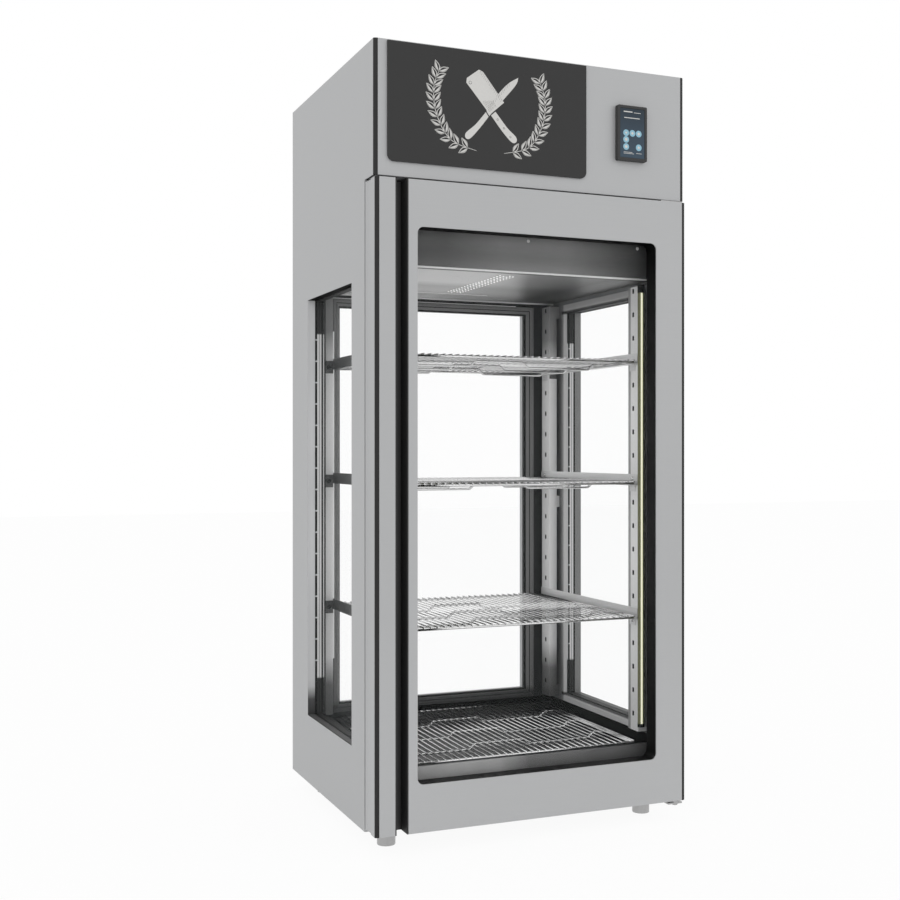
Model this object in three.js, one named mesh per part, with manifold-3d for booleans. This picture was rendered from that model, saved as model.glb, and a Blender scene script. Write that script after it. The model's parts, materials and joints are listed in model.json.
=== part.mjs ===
// Dry aging cabinet with glass on four sides, a hinged front door and a cooling unit on top.
// Millimetres, +Z up. The origin is on the floor, under the middle of the cabinet's box.
// Inside this file x runs from the left side to the right, y from the header's front to the back.
import * as THREE from 'three';
import { mergeVertices } from 'three/addons/utils/BufferGeometryUtils.js';
import Module from 'manifold-3d';

const wasm = await Module();
wasm.setup();

// Overall sizes
const cabinetWidth = 750;
const cabinetDepth = 630;
const cabinetHeight = 1700;
const footHeight = 40;
const headerHeight = 283;
const wallThickness = 45;
const backThickness = 40;
const sheet = 2.5;
const fit = 0.3;
const cutOverrun = 5;

// Windows in the two sides and the back
const windowBottom = 203;
const windowBelowHeader = 207;
const sideWindowSetback = 88.6;
const sideWindowFromBack = 97.9;
const backWindowMargin = 113.5;
const revealDepth = 18;
const glazingRebate = 15;
const glazingThickness = 20;
const backGlassThickness = 12;
const sideFrameFlange = 2;
const backFrameFlange = 5;
const windowFrameBorder = 20;
const sideFrameSplay = 6;
const backFrameSplay = 13.5;

// Door
const doorProud = 8;
const doorThickness = 64;
const doorSealGap = 4;
const doorSideInset = 0.5;
const doorBottomGap = 5.6;
const doorHeaderGap = 5;
const doorWindowLeft = 94;
const doorWindowRight = 77.4;
const doorWindowBelow = 100;
const doorWindowAbove = 98;
const doorWindowRadius = 14;
const doorFrameBorder = 17;
const doorFrameLip = 14;
const doorGlassInset = 8.4;
const doorGlassThickness = 16;
const gripWidth = 44.5;
const grooveWidth = 29.2;
const grooveDepth = 41;
const grooveLining = 2.5;
const edgeWidth = 8.5;
const edgeRound = 4.6;
const edgeDepth = 5;
const doorFlankDepth = 28;
const doorFlankSlope = 8;
const doorFlankRecess = 3;
const gasketInset = 18;
const gasketWidth = 16;

// Hinges, on the right
const hingeFromSide = 18;
const hingeBehindDoorFront = 16;
const hingePinRadius = 5;
const hingePinReach = 16;
const hingePlateThickness = 3.7;
const topPlateLength = 56;
const bottomPlateLength = 36;
const hingePlateFront = 10;
const hingePlateGrip = 40;
const hingePinHead = 3;
const hingePinHeadRadius = 6;
const hingeBushRadius = 8;

// Header
const fasciaFlange = 24;
const graphicLeft = 29;
const graphicFromRight = 255;
const graphicBelow = 30;
const graphicAbove = 3;
const graphicRadius = 14;
const graphicThickness = 5;
const displayFromRight = 104;
const displayWidth = 75;
const displayHeight = 123;
const displayBelow = 78.3;
const displayThickness = 12;
const displayBorder = 6;
const screenThickness = 2;
const topCoverThickness = 3;
const ventCount = 8;
const ventLength = 180;
const ventWidth = 8;
const ventPitch = 24;
const ventColumnShare = 0.8;

// Chamber
const floorThickness = 100;
const sillHeight = 25.5;
const sillDepth = 16;
const ceilingThickness = 37;
const ductDepth = 140;
const ductPanelThickness = 3;
const beamDepth = 24;
const airBandX = -18;
const airBandFromFront = 55;
const airBandFromBack = 160;
const airSlotLength = 36;
const airSlotWidth = 6;
const airSlotPitch = 18;
const returnGap = 25;

// Slotted uprights and lamp bars
const uprightBottom = 191;
const uprightBelowDuct = 12;
const uprightWidth = 44;
const uprightDepth = 29.7;
const uprightStandoff = 8;
const uprightFootHeight = 30;
const uprightFootCount = 3;
const uprightSheet = 2;
const uprightFrontSetback = 15;
const uprightBackSetback = 18;
const slotPitch = 54.9;
const slotWidth = 7.5;
const slotHeight = 11;
const firstSlot = 33.5;
const lampBottom = 203;
const lampBelowDuct = 10;
const lampSize = 12;
const lampStandoff = 15;
const lampSetback = 2;
const lampLip = 1.5;
const lampTubeRadius = 4;

// Shelves and their runners
const shelfSideGap = 12.7;
const shelfBearing = 6.3;
const shelfSetback = 8;
const shelfBackGap = 6;
const shelfHeightShares = [0.2939, 0.5772, 0.8333];
const wirePitch = 16.4;
const wireSize = 3.5;
const rodSize = 6;
const rodWeld = 1;
const midRodCount = 1;
const runnerSheet = 2;
const runnerRise = 26;
const endPlateWidth = 24;
const endPlateHeight = 34;
const endPlateBelow = 14.5;
const hookReach = 6;
const hookThickness = 3;
const hookHeight = 9;

// Feet
const footRadius = 20;
const footStemRadius = 15;
const footCollar = 10;
const footFromSide = 59;
const footFromFront = 90;
const footFromBack = 90;
const footSides = 16;

// Cooling unit on the deck over the chamber
const compressorRadius = 80;
const compressorHeight = 175;
const compressorPlate = 190;
const compressorPlateThickness = 3;
const compressorSeamWidth = 4;
const compressorSeamHeight = 8;
const domeShare = 0.7;
const seamShare = 0.45;
const compressorFromSide = 170;
const condenserFromSide = 255;
const condenserFront = 130;
const condenserWidth = 250;
const condenserDepth = 52;
const condenserHeadroom = 68;
const finCount = 11;
const finThickness = 3;
const finSpine = 10;
const shroudDepth = 32;
const shroudHeadroom = 43;
const shroudBorder = 19;
const fanTipClearance = 6;
const motorRadius = 30;
const motorLength = 46;
const motorArm = 10;
const fanShaftRadius = 4;
const fanHubRadius = 20;
const fanHubLength = 22;
const fanBladeCount = 5;
const fanBladeThickness = 2.5;
const fanBladeChord = 34;
const fanBladeRoot = 4;
const fanBladePitch = Math.PI / 6;
const shaftReach = 16;

const controlBoxWidth = 110;
const controlBoxDepth = 60;
const controlBoxHeight = 150;
const controlBoxWall = 2;
const controlBoxFromSide = 85;
const controlBoxFront = 90;
const inletWidth = 50;
const inletHeight = 28;
const inletDepth = 26;
const inletLip = 3;
const inletPinWell = 14;
const inletAbove = 45;
const inletFromSide = 65;

// Evaporator and its two fans, under the ceiling
const evaporatorWidth = 420;
const evaporatorDepth = 110;
const evaporatorHeight = 100;
const evaporatorFromBack = 30;
const evaporatorFanRadius = 64;
const evaporatorFanX = 75;
const evaporatorMotorLength = 80;
const roundSides = 24;

// Levels and planes worked out from the sizes above
const halfWidth = cabinetWidth / 2;
const innerHalf = halfWidth - wallThickness;
const bodyBottom = footHeight;
const headerBottom = cabinetHeight - headerHeight;
const bodyBack = cabinetDepth;
const backInner = bodyBack - backThickness;
const doorFront = -doorProud;
const doorBack = doorFront + doorThickness;
const bodyFront = doorBack + doorSealGap;
const windowTop = headerBottom - windowBelowHeader;
const sideWindowFront = bodyFront + sideWindowSetback;
const sideWindowBack = backInner - sideWindowFromBack;
const backWindowHalf = halfWidth - backWindowMargin;
const doorBottom = bodyBottom + doorBottomGap;
const doorTop = headerBottom - doorHeaderGap;
const doorHalf = halfWidth - doorSideInset;
const doorGlassFront = doorBack - doorGlassInset - doorGlassThickness;
const ceilingBottom = headerBottom - ceilingThickness;
const ductPanelHeight = ceilingBottom - ductDepth;
const floorTop = bodyBottom + floorThickness;
const sillTop = floorTop + sillHeight;
const deck = headerBottom + fit;
const hingeX = halfWidth - hingeFromSide;
const hingeY = doorFront + hingeBehindDoorFront;
const shelfFront = bodyFront + shelfSetback;
const uprightHeight = ductPanelHeight - uprightBelowDuct - uprightBottom;
const slotCount = 1 + Math.floor((uprightHeight - slotHeight - firstSlot) / slotPitch);
const lampHeight = ductPanelHeight - lampBelowDuct - lampBottom;
const runnerHalf = innerHalf - uprightDepth - 2 * fit;
const shelfWidth = 2 * (runnerHalf - shelfSideGap);
const wireCount = 1 + Math.round((shelfWidth - wireSize) / wirePitch);
const shelfDepth = backInner - shelfBackGap - shelfFront;
const shelfMiddleY = shelfFront + shelfDepth / 2;
const shelfDrop = wireSize - rodWeld + rodSize;
const floorShelfHeight = sillTop + fit + shelfDrop;
const shelfHeights = shelfHeightShares.map((share) => floorTop + share * (ductPanelHeight - floorTop));
const airBandLength = backInner - airBandFromBack - bodyFront - airBandFromFront;
const airSlotCount = 1 + Math.floor((airBandLength - airSlotWidth) / airSlotPitch);
const graphicWidth = cabinetWidth - graphicLeft - graphicFromRight;
const displayLeft = halfWidth - displayFromRight - displayWidth;
const inletX = halfWidth - inletFromSide;
const controlBoxX = -halfWidth + controlBoxFromSide;
const compressorX = -halfWidth + compressorFromSide;
const compressorY = (controlBoxFront + controlBoxDepth + bodyBack) / 2;
const condenserX = halfWidth - condenserFromSide;
const condenserHeight = headerHeight - condenserHeadroom;
const shroudWidth = headerHeight - shroudHeadroom;
const condenserFanRadius = shroudWidth / 2 - shroudBorder - fanTipClearance;
const evaporatorFront = backInner - evaporatorFromBack - evaporatorDepth;
const evaporatorFanY = (bodyFront + beamDepth + evaporatorFront) / 2;

const steelLook = { color: 0xb4b5b6, roughness: 0.42, metalness: 0.35 };
const linerLook = { color: 0x9b9c9e, roughness: 0.28, metalness: 0.8 };
const darkLook = { color: 0x262728, roughness: 0.5, metalness: 0.1 };
const graphicLook = { color: 0x3f4041, roughness: 0.25, metalness: 0.1 };
const glassLook = { color: 0xdfe8e8, roughness: 0.03, metalness: 0, transparent: true, opacity: 0.2 };
const chromeLook = { color: 0xc4c5c6, roughness: 0.2, metalness: 0.95 };
const gasketLook = { color: 0x8f9092, roughness: 0.7, metalness: 0 };
const lampLook = { color: 0xe8ecbb, roughness: 0.35, metalness: 0 };
const screenLook = { color: 0x2f4050, roughness: 0.15, metalness: 0 };
const blackPaintLook = { color: 0x17181a, roughness: 0.6, metalness: 0.1 };
const finLook = { color: 0xa9abad, roughness: 0.45, metalness: 0.85 };
const footLook = { color: 0x9d9e9f, roughness: 0.35, metalness: 0.7 };

// A closed three.js geometry as a solid that can be joined and cut.
function toSolid(geometry) {
  const bare = geometry.clone();
  bare.deleteAttribute('normal');
  bare.deleteAttribute('uv');
  const merged = mergeVertices(bare);
  return new wasm.Manifold(new wasm.Mesh({
    numProp: 3,
    vertProperties: new Float32Array(merged.attributes.position.array),
    triVerts: new Uint32Array(merged.index.array),
  }));
}

function toGeometry(solid) {
  const mesh = solid.getMesh();
  const geometry = new THREE.BufferGeometry();
  geometry.setAttribute('position', new THREE.BufferAttribute(new Float32Array(mesh.vertProperties), 3));
  geometry.setIndex(new THREE.BufferAttribute(new Uint32Array(mesh.triVerts), 1));
  geometry.computeVertexNormals();
  return geometry;
}

function block(x0, x1, y0, y1, z0, z1) {
  const geometry = new THREE.BoxGeometry(x1 - x0, y1 - y0, z1 - z0);
  geometry.translate((x0 + x1) / 2, (y0 + y1) / 2, (z0 + z1) / 2);
  return toSolid(geometry);
}

// A rectangle with round corners, as a shape or as a hole in one.
function roundedRectangle(x0, x1, y0, y1, radius, Kind = THREE.Shape) {
  const outline = new Kind();
  outline.moveTo(x0 + radius, y0);
  outline.lineTo(x1 - radius, y0);
  outline.absarc(x1 - radius, y0 + radius, radius, -Math.PI / 2, 0, false);
  outline.lineTo(x1, y1 - radius);
  outline.absarc(x1 - radius, y1 - radius, radius, 0, Math.PI / 2, false);
  outline.lineTo(x0 + radius, y1);
  outline.absarc(x0 + radius, y1 - radius, radius, Math.PI / 2, Math.PI, false);
  outline.lineTo(x0, y0 + radius);
  outline.absarc(x0 + radius, y0 + radius, radius, Math.PI, 1.5 * Math.PI, false);
  return outline;
}

function polygon(points) {
  return new THREE.Shape(points.map(([x, y]) => new THREE.Vector2(x, y)));
}

const cornerSteps = 5;
const extrusion = (shape, depth) =>
  new THREE.ExtrudeGeometry(shape, { depth, bevelEnabled: false, curveSegments: cornerSteps });

// An outline in x and y, raised from z0 to z1.
function raised(shape, z0, z1) {
  const geometry = extrusion(shape, z1 - z0);
  geometry.translate(0, 0, z0);
  return toSolid(geometry);
}

// An outline in x and z, run from y0 to y1.
function runBack(shape, y0, y1) {
  const geometry = extrusion(shape, y1 - y0);
  geometry.rotateX(Math.PI / 2);
  geometry.translate(0, y1, 0);
  return toSolid(geometry);
}

// A round bar along z; with a matrix it can point elsewhere.
function bar(radius, z0, z1, sides = roundSides) {
  const geometry = new THREE.CylinderGeometry(radius, radius, z1 - z0, sides);
  geometry.rotateX(Math.PI / 2);
  geometry.translate(0, 0, (z0 + z1) / 2);
  return toSolid(geometry);
}

const join = (...solids) => solids.reduce((whole, next) => whole.add(next));
const cut = (solid, ...tools) => tools.reduce((rest, tool) => rest.subtract(tool), solid);

// The span in x between two distances from the outer face of one side, -1 left and +1 right.
function sideSpan(side, near, far) {
  return [side * (halfWidth - near), side * (halfWidth - far)].sort((a, b) => a - b);
}

const cabinet = new THREE.Group();
cabinet.position.y = (displayThickness - cabinetDepth - fit - inletLip) / 2;

function place(name, geometry, look, x = 0, y = 0, z = 0) {
  const mesh = new THREE.Mesh(geometry, new THREE.MeshStandardMaterial(look));
  mesh.name = name;
  mesh.position.set(x, y, z);
  cabinet.add(mesh);
  return mesh;
}

// A foamed side wall with its window, and the thin skin that carries on up beside the header.
function sideWall(side) {
  const wall = block(...sideSpan(side, 0, wallThickness), bodyFront, bodyBack, bodyBottom, headerBottom);
  const skin = block(...sideSpan(side, 0, sheet), edgeDepth + fit, bodyBack, headerBottom, cabinetHeight);
  const opening = block(...sideSpan(side, -cutOverrun, revealDepth + cutOverrun),
    sideWindowFront, sideWindowBack, windowBottom, windowTop);
  const rebate = block(...sideSpan(side, revealDepth, wallThickness + cutOverrun),
    sideWindowFront - glazingRebate, sideWindowBack + glazingRebate,
    windowBottom - glazingRebate, windowTop + glazingRebate);
  return cut(join(wall, skin), opening, rebate);
}

// The pane of a side window, seated in the rebate behind the outer skin.
function sideGlass(side) {
  const pane = glazingRebate - fit;
  return block(...sideSpan(side, revealDepth + fit, revealDepth + glazingThickness),
    sideWindowFront - pane, sideWindowBack + pane, windowBottom - pane, windowTop + pane);
}

// The inner frame that holds the pane: a ring in the rebate with a flange over the wall. Its
// opening widens towards the chamber.
function sideWindowFrame(side) {
  const pane = glazingRebate - fit;
  const ring = block(...sideSpan(side, revealDepth + glazingThickness + fit, wallThickness + fit),
    sideWindowFront - pane, sideWindowBack + pane, windowBottom - pane, windowTop + pane);
  const face = wallThickness + fit + sideFrameFlange;
  const flange = block(...sideSpan(side, wallThickness + fit, face),
    sideWindowFront - windowFrameBorder, sideWindowBack + windowFrameBorder,
    windowBottom - windowFrameBorder, windowTop + windowFrameBorder);
  const opening = block(...sideSpan(side, revealDepth, face + cutOverrun),
    sideWindowFront, sideWindowBack, windowBottom, windowTop);
  const narrow = block(...sideSpan(side, face - sideFrameSplay, face),
    sideWindowFront, sideWindowBack, windowBottom, windowTop);
  const wide = block(...sideSpan(side, face, face + cutOverrun),
    sideWindowFront - sideFrameSplay, sideWindowBack + sideFrameSplay,
    windowBottom - sideFrameSplay, windowTop + sideFrameSplay);
  return cut(join(ring, flange), opening, wasm.Manifold.hull([narrow, wide]));
}

function backWall() {
  const wall = block(-innerHalf + fit, innerHalf - fit, backInner, bodyBack, bodyBottom, headerBottom);
  const skinHalf = halfWidth - sheet - fit;
  const skin = block(-skinHalf, skinHalf, bodyBack - sheet, bodyBack, deck, cabinetHeight);
  const bridge = block(-innerHalf + fit, innerHalf - fit, bodyBack - sheet, bodyBack,
    headerBottom - sheet, deck + sheet);
  const opening = block(-backWindowHalf, backWindowHalf, bodyBack - revealDepth - cutOverrun,
    bodyBack + cutOverrun, windowBottom, windowTop);
  const rebate = block(-backWindowHalf - glazingRebate, backWindowHalf + glazingRebate,
    backInner - cutOverrun, bodyBack - revealDepth,
    windowBottom - glazingRebate, windowTop + glazingRebate);
  const vents = [];
  const ventMiddle = (headerBottom + cabinetHeight) / 2;
  for (const column of [-1, 1]) {
    for (let i = 0; i < ventCount; i += 1) {
      const z = ventMiddle + (i - (ventCount - 1) / 2) * ventPitch;
      const x = column * ventLength * ventColumnShare;
      vents.push(block(x - ventLength / 2, x + ventLength / 2, bodyBack - sheet - cutOverrun,
        bodyBack + cutOverrun, z - ventWidth / 2, z + ventWidth / 2));
    }
  }
  const inletZ = headerBottom + inletAbove + inletLip - fit;
  const inletHalf = inletWidth / 2 - inletLip + fit;
  const inletHole = block(inletX - inletHalf, inletX + inletHalf, bodyBack - sheet - cutOverrun,
    bodyBack + cutOverrun, inletZ, inletZ + inletHeight - 2 * (inletLip - fit));
  return cut(join(wall, bridge, skin), opening, rebate, inletHole, ...vents);
}

function backGlass() {
  const pane = glazingRebate - fit;
  return block(-backWindowHalf - pane, backWindowHalf + pane, bodyBack - revealDepth - backGlassThickness,
    bodyBack - revealDepth - fit, windowBottom - pane, windowTop + pane);
}

function backWindowFrame() {
  const pane = glazingRebate - fit;
  const ring = block(-backWindowHalf - pane, backWindowHalf + pane, backInner - fit,
    bodyBack - revealDepth - backGlassThickness - fit, windowBottom - pane, windowTop + pane);
  const face = backInner - fit - backFrameFlange;
  const flange = block(-backWindowHalf - windowFrameBorder, backWindowHalf + windowFrameBorder,
    face, backInner - fit,
    windowBottom - windowFrameBorder, windowTop + windowFrameBorder);
  const opening = block(-backWindowHalf, backWindowHalf, face - cutOverrun, bodyBack,
    windowBottom, windowTop);
  const narrow = block(-backWindowHalf, backWindowHalf, face, face + backFrameSplay,
    windowBottom, windowTop);
  const wide = block(-backWindowHalf - backFrameSplay, backWindowHalf + backFrameSplay,
    face - cutOverrun, face, windowBottom - backFrameSplay, windowTop + backFrameSplay);
  return cut(join(ring, flange), opening, wasm.Manifold.hull([narrow, wide]));
}

// The foamed floor, dished behind a front sill and a back sill that carry the lowest shelf.
function basePan() {
  const half = innerHalf - fit;
  const floor = block(-half, half, bodyFront, backInner - fit, bodyBottom, floorTop);
  const frontSill = block(-half, half, bodyFront, bodyFront + sillDepth, bodyBottom, sillTop);
  const backSill = block(-half, half, backInner - fit - sillDepth, backInner - fit, bodyBottom, sillTop);
  return join(floor, frontSill, backSill);
}

function chamberCeiling() {
  const half = innerHalf - fit;
  return block(-half, half, bodyFront, backInner - fit, ceilingBottom, headerBottom);
}

function headerBeam() {
  const half = innerHalf - fit;
  return block(-half, half, bodyFront, bodyFront + beamDepth, ductPanelHeight, ceilingBottom - fit);
}

// The panel under the evaporator, with a band of slots and a gap for the air along the back wall.
function ductPanel() {
  const half = innerHalf - fit;
  const panel = block(-half, half, bodyFront + beamDepth + fit, backInner - returnGap,
    ductPanelHeight, ductPanelHeight + ductPanelThickness);
  const slots = [];
  for (let i = 0; i < airSlotCount; i += 1) {
    const y = bodyFront + airBandFromFront + i * airSlotPitch;
    slots.push(block(airBandX - airSlotLength / 2, airBandX + airSlotLength / 2,
      y, y + airSlotWidth, ductPanelHeight - cutOverrun,
      ductPanelHeight + ductPanelThickness + cutOverrun));
  }
  return cut(panel, ...slots);
}

function topCover() {
  const half = halfWidth - sheet - fit;
  const cover = block(-half, half, fasciaFlange + fit, bodyBack - sheet - fit,
    cabinetHeight - topCoverThickness, cabinetHeight);
  const vents = [];
  const middle = cabinetDepth / 2;
  for (const column of [-1, 1]) {
    for (let i = 0; i < ventCount; i += 1) {
      const y = middle + (i - (ventCount - 1) / 2) * ventPitch;
      const x = column * ventLength * ventColumnShare;
      vents.push(block(x - ventLength / 2, x + ventLength / 2, y - ventWidth / 2, y + ventWidth / 2,
        cabinetHeight - topCoverThickness - cutOverrun, cabinetHeight + cutOverrun));
    }
  }
  return cut(cover, ...vents);
}

// The folded steel front of the header: a plate with flanges along its top and bottom.
function headerFascia() {
  const half = halfWidth - edgeWidth - fit;
  const plate = block(-half, half, 0, sheet, headerBottom, cabinetHeight);
  const bottom = block(-half, half, 0, bodyFront - fit, headerBottom, headerBottom + sheet);
  const top = block(-half, half, 0, fasciaFlange, cabinetHeight - sheet, cabinetHeight);
  return join(plate, bottom, top);
}

// The dark upright strip with a rounded front corner that closes one edge of the header or door.
function edgeStrip(side, outer, front, z0, z1) {
  const face = halfWidth - outer;
  const inner = face - edgeWidth;
  const corner = [];
  for (let i = 0; i <= cornerSteps; i += 1) {
    const turn = (i / cornerSteps) * Math.PI / 2;
    corner.push([inner + edgeWidth * Math.cos(turn), front + edgeRound - edgeRound * Math.sin(turn)]);
  }
  const points = [[inner, front + edgeDepth], [face, front + edgeDepth], ...corner]
    .map(([x, y]) => [side * x, y]);
  return raised(polygon(side > 0 ? points.reverse() : points), z0, z1);
}

function graphicPanel() {
  const x0 = -halfWidth + graphicLeft;
  const outline = roundedRectangle(x0, x0 + graphicWidth, headerBottom + graphicBelow,
    cabinetHeight - graphicAbove, graphicRadius);
  const squareTop = block(x0, x0 + graphicWidth, -graphicThickness, -fit,
    cabinetHeight - graphicAbove - 2 * graphicRadius, cabinetHeight - graphicAbove);
  return join(runBack(outline, -graphicThickness, -fit), squareTop);
}

function displayHousing() {
  const x0 = displayLeft;
  const z0 = headerBottom + displayBelow;
  const outline = roundedRectangle(x0, x0 + displayWidth, z0, z0 + displayHeight, displayBorder / 2);
  const seat = block(x0 + displayBorder, x0 + displayWidth - displayBorder,
    -displayThickness - cutOverrun, -displayThickness + screenThickness,
    z0 + displayBorder, z0 + displayHeight - displayBorder);
  return cut(runBack(outline, -displayThickness, -fit), seat);
}

function displayScreen() {
  const x0 = displayLeft + displayBorder + fit;
  const z0 = headerBottom + displayBelow + displayBorder + fit;
  return block(x0, x0 + displayWidth - 2 * (displayBorder + fit), -displayThickness,
    -displayThickness + screenThickness - fit, z0, z0 + displayHeight - 2 * (displayBorder + fit));
}

// The folded steel door: edge notches, the grip groove on the left, dished flanks and the window.
function doorWindowOutline(grow, radius, Kind) {
  return roundedRectangle(-halfWidth + doorWindowLeft - grow, halfWidth - doorWindowRight + grow,
    doorBottom + doorWindowBelow - grow, doorTop - doorWindowAbove + grow, radius, Kind);
}

function doorShell() {
  const edge = doorHalf - edgeWidth - fit;
  const strip = doorFront + edgeDepth + fit;
  const flank = doorFront + doorFlankDepth;
  const grooveLeft = -halfWidth + gripWidth;
  const outline = polygon([
    [-edge, doorFront], [grooveLeft, doorFront], [grooveLeft, doorFront + grooveDepth],
    [grooveLeft + grooveWidth, doorFront + grooveDepth], [grooveLeft + grooveWidth, doorFront],
    [edge, doorFront], [edge, strip], [doorHalf, strip], [doorHalf, flank],
    [doorHalf - doorFlankRecess, flank + doorFlankSlope],
    [doorHalf - doorFlankRecess, doorBack - doorFlankSlope], [doorHalf, doorBack],
    [-doorHalf, doorBack], [-doorHalf + doorFlankRecess, doorBack - doorFlankSlope],
    [-doorHalf + doorFlankRecess, flank + doorFlankSlope], [-doorHalf, flank],
    [-doorHalf, strip], [-edge, strip],
  ]);
  const window = runBack(doorWindowOutline(0, doorWindowRadius), doorFront - cutOverrun, doorBack);
  const rebate = runBack(doorWindowOutline(doorFrameBorder, doorWindowRadius + doorFrameBorder),
    doorFront + sheet, doorBack + cutOverrun);
  const pinHole = hingePinRadius + fit;
  const topHole = bar(pinHole, doorTop - hingePinReach - fit, doorTop + cutOverrun)
    .translate([hingeX, hingeY, 0]);
  const bottomHole = bar(pinHole, doorBottom - cutOverrun, doorBottom + hingePinReach + fit)
    .translate([hingeX, hingeY, 0]);
  return cut(raised(outline, doorBottom, doorTop), window, rebate, topHole, bottomHole);
}

// The dark channel that lines the grip groove.
function gripLining() {
  const left = -halfWidth + gripWidth + fit;
  const right = left + grooveWidth - 2 * fit;
  const front = doorFront + fit;
  const floor = doorFront + grooveDepth - fit;
  const outline = polygon([
    [left, front], [left + grooveLining, front], [left + grooveLining, floor - grooveLining],
    [right - grooveLining, floor - grooveLining], [right - grooveLining, front], [right, front],
    [right, floor], [left, floor],
  ]);
  return raised(outline, doorBottom, doorTop);
}

function doorWindowFrame() {
  const border = doorFrameBorder - fit;
  const ring = runBack(doorWindowOutline(border, doorWindowRadius + border),
    doorFront + sheet + fit, doorBack);
  const opening = runBack(doorWindowOutline(0, doorWindowRadius), doorFront, doorBack + cutOverrun);
  const seat = runBack(doorWindowOutline(doorFrameLip, doorWindowRadius + doorFrameLip),
    doorGlassFront, doorBack + cutOverrun);
  return cut(ring, opening, seat);
}

function doorGlass() {
  const pane = doorFrameLip - fit;
  return runBack(doorWindowOutline(pane, doorWindowRadius + pane),
    doorGlassFront + fit, doorGlassFront + doorGlassThickness);
}

function doorGasket() {
  const half = halfWidth - gasketInset - fit;
  const inner = half - gasketWidth;
  const z0 = doorBottom + gasketInset;
  const z1 = doorTop - gasketInset;
  const ring = block(-half, half, doorBack + fit, bodyFront - fit, z0, z1);
  const hole = block(-inner, inner, doorBack - cutOverrun, bodyFront + cutOverrun,
    z0 + gasketWidth, z1 - gasketWidth);
  return cut(ring, hole);
}

// A hinge plate with its pin, for the top of the door, under the header.
function topHinge() {
  const z1 = headerBottom - fit;
  const x1 = halfWidth - sheet;
  const plate = block(x1 - topPlateLength, x1, doorFront + hingePlateFront, bodyFront - fit,
    z1 - hingePlateThickness, z1);
  const pin = bar(hingePinRadius, doorTop - hingePinReach, z1).translate([hingeX, hingeY, 0]);
  return join(plate, pin);
}

// The lower hinge plate is bolted under the base and carries the door on a bush.
function bottomHinge() {
  const z1 = bodyBottom - fit;
  const x1 = halfWidth - sheet;
  const plate = block(x1 - bottomPlateLength, x1, doorFront + hingePlateFront, bodyFront + hingePlateGrip,
    z1 - hingePlateThickness, z1);
  const pin = bar(hingePinRadius, z1 - hingePlateThickness, doorBottom + hingePinReach);
  const bush = bar(hingeBushRadius, z1 - hingePlateThickness, doorBottom - fit);
  const head = bar(hingePinHeadRadius, z1 - hingePlateThickness - hingePinHead, z1);
  return join(plate, join(pin, bush, head).translate([hingeX, hingeY, 0]));
}

// A slotted upright, drawn from its own foot: a channel with its open side to the wall, which
// bridges hold a little way off the wall.
function upright() {
  const shell = block(uprightStandoff, uprightDepth, -uprightWidth / 2, uprightWidth / 2,
    0, uprightHeight);
  const hollow = block(0, uprightDepth - uprightSheet, -uprightWidth / 2 + uprightSheet,
    uprightWidth / 2 - uprightSheet, -cutOverrun, uprightHeight + cutOverrun);
  const slots = [];
  for (let i = 0; i < slotCount; i += 1) {
    const z = firstSlot + i * slotPitch;
    slots.push(block(uprightDepth - uprightSheet - cutOverrun, uprightDepth + cutOverrun,
      -slotWidth / 2, slotWidth / 2, z, z + slotHeight));
  }
  const bridges = [];
  for (let i = 0; i < uprightFootCount; i += 1) {
    const z = (i * (uprightHeight - uprightFootHeight)) / (uprightFootCount - 1);
    bridges.push(block(0, uprightStandoff + uprightSheet, -uprightWidth / 2, uprightWidth / 2,
      z, z + uprightFootHeight));
  }
  return join(cut(shell, hollow, ...slots), ...bridges);
}

// The lower end of the slot that lies nearest to a level.
function nearestSlot(level) {
  const first = uprightBottom + firstSlot;
  return first + Math.round((level - slotHeight / 2 - first) / slotPitch) * slotPitch;
}

// The lamp bar: a rail on the wall that carries an open channel with a round tube lying in it.
function lampBar() {
  const channel = block(0, lampStandoff + lampSize, 0, lampSize, 0, lampHeight);
  const hollow = block(lampStandoff + lampLip, lampStandoff + lampSize + cutOverrun,
    lampLip, lampSize - lampLip, -cutOverrun, lampHeight + cutOverrun);
  const tube = bar(lampTubeRadius, 0, lampHeight, footSides / 2)
    .translate([lampStandoff + lampTubeRadius + lampLip / 2, lampSize / 2, 0]);
  return join(cut(channel, hollow), tube);
}

// A wire shelf: wires from front to back, welded on rods across and at the sides.
function shelf() {
  const half = shelfWidth / 2;
  const wires = [];
  for (let i = 0; i < wireCount; i += 1) {
    const x = -half + wireSize / 2 + (i * (shelfWidth - wireSize)) / (wireCount - 1);
    wires.push(block(x - wireSize / 2, x + wireSize / 2, -shelfDepth / 2, shelfDepth / 2,
      -wireSize, 0));
  }
  const rods = [];
  const rodTop = -wireSize + rodWeld;
  for (let i = 0; i <= midRodCount + 1; i += 1) {
    const y = -shelfDepth / 2 + rodSize + (i * (shelfDepth - 2 * rodSize)) / (midRodCount + 1);
    rods.push(block(-half, half, y - rodSize / 2, y + rodSize / 2, rodTop - rodSize, rodTop));
  }
  return join(...rods, ...wires);
}

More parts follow.
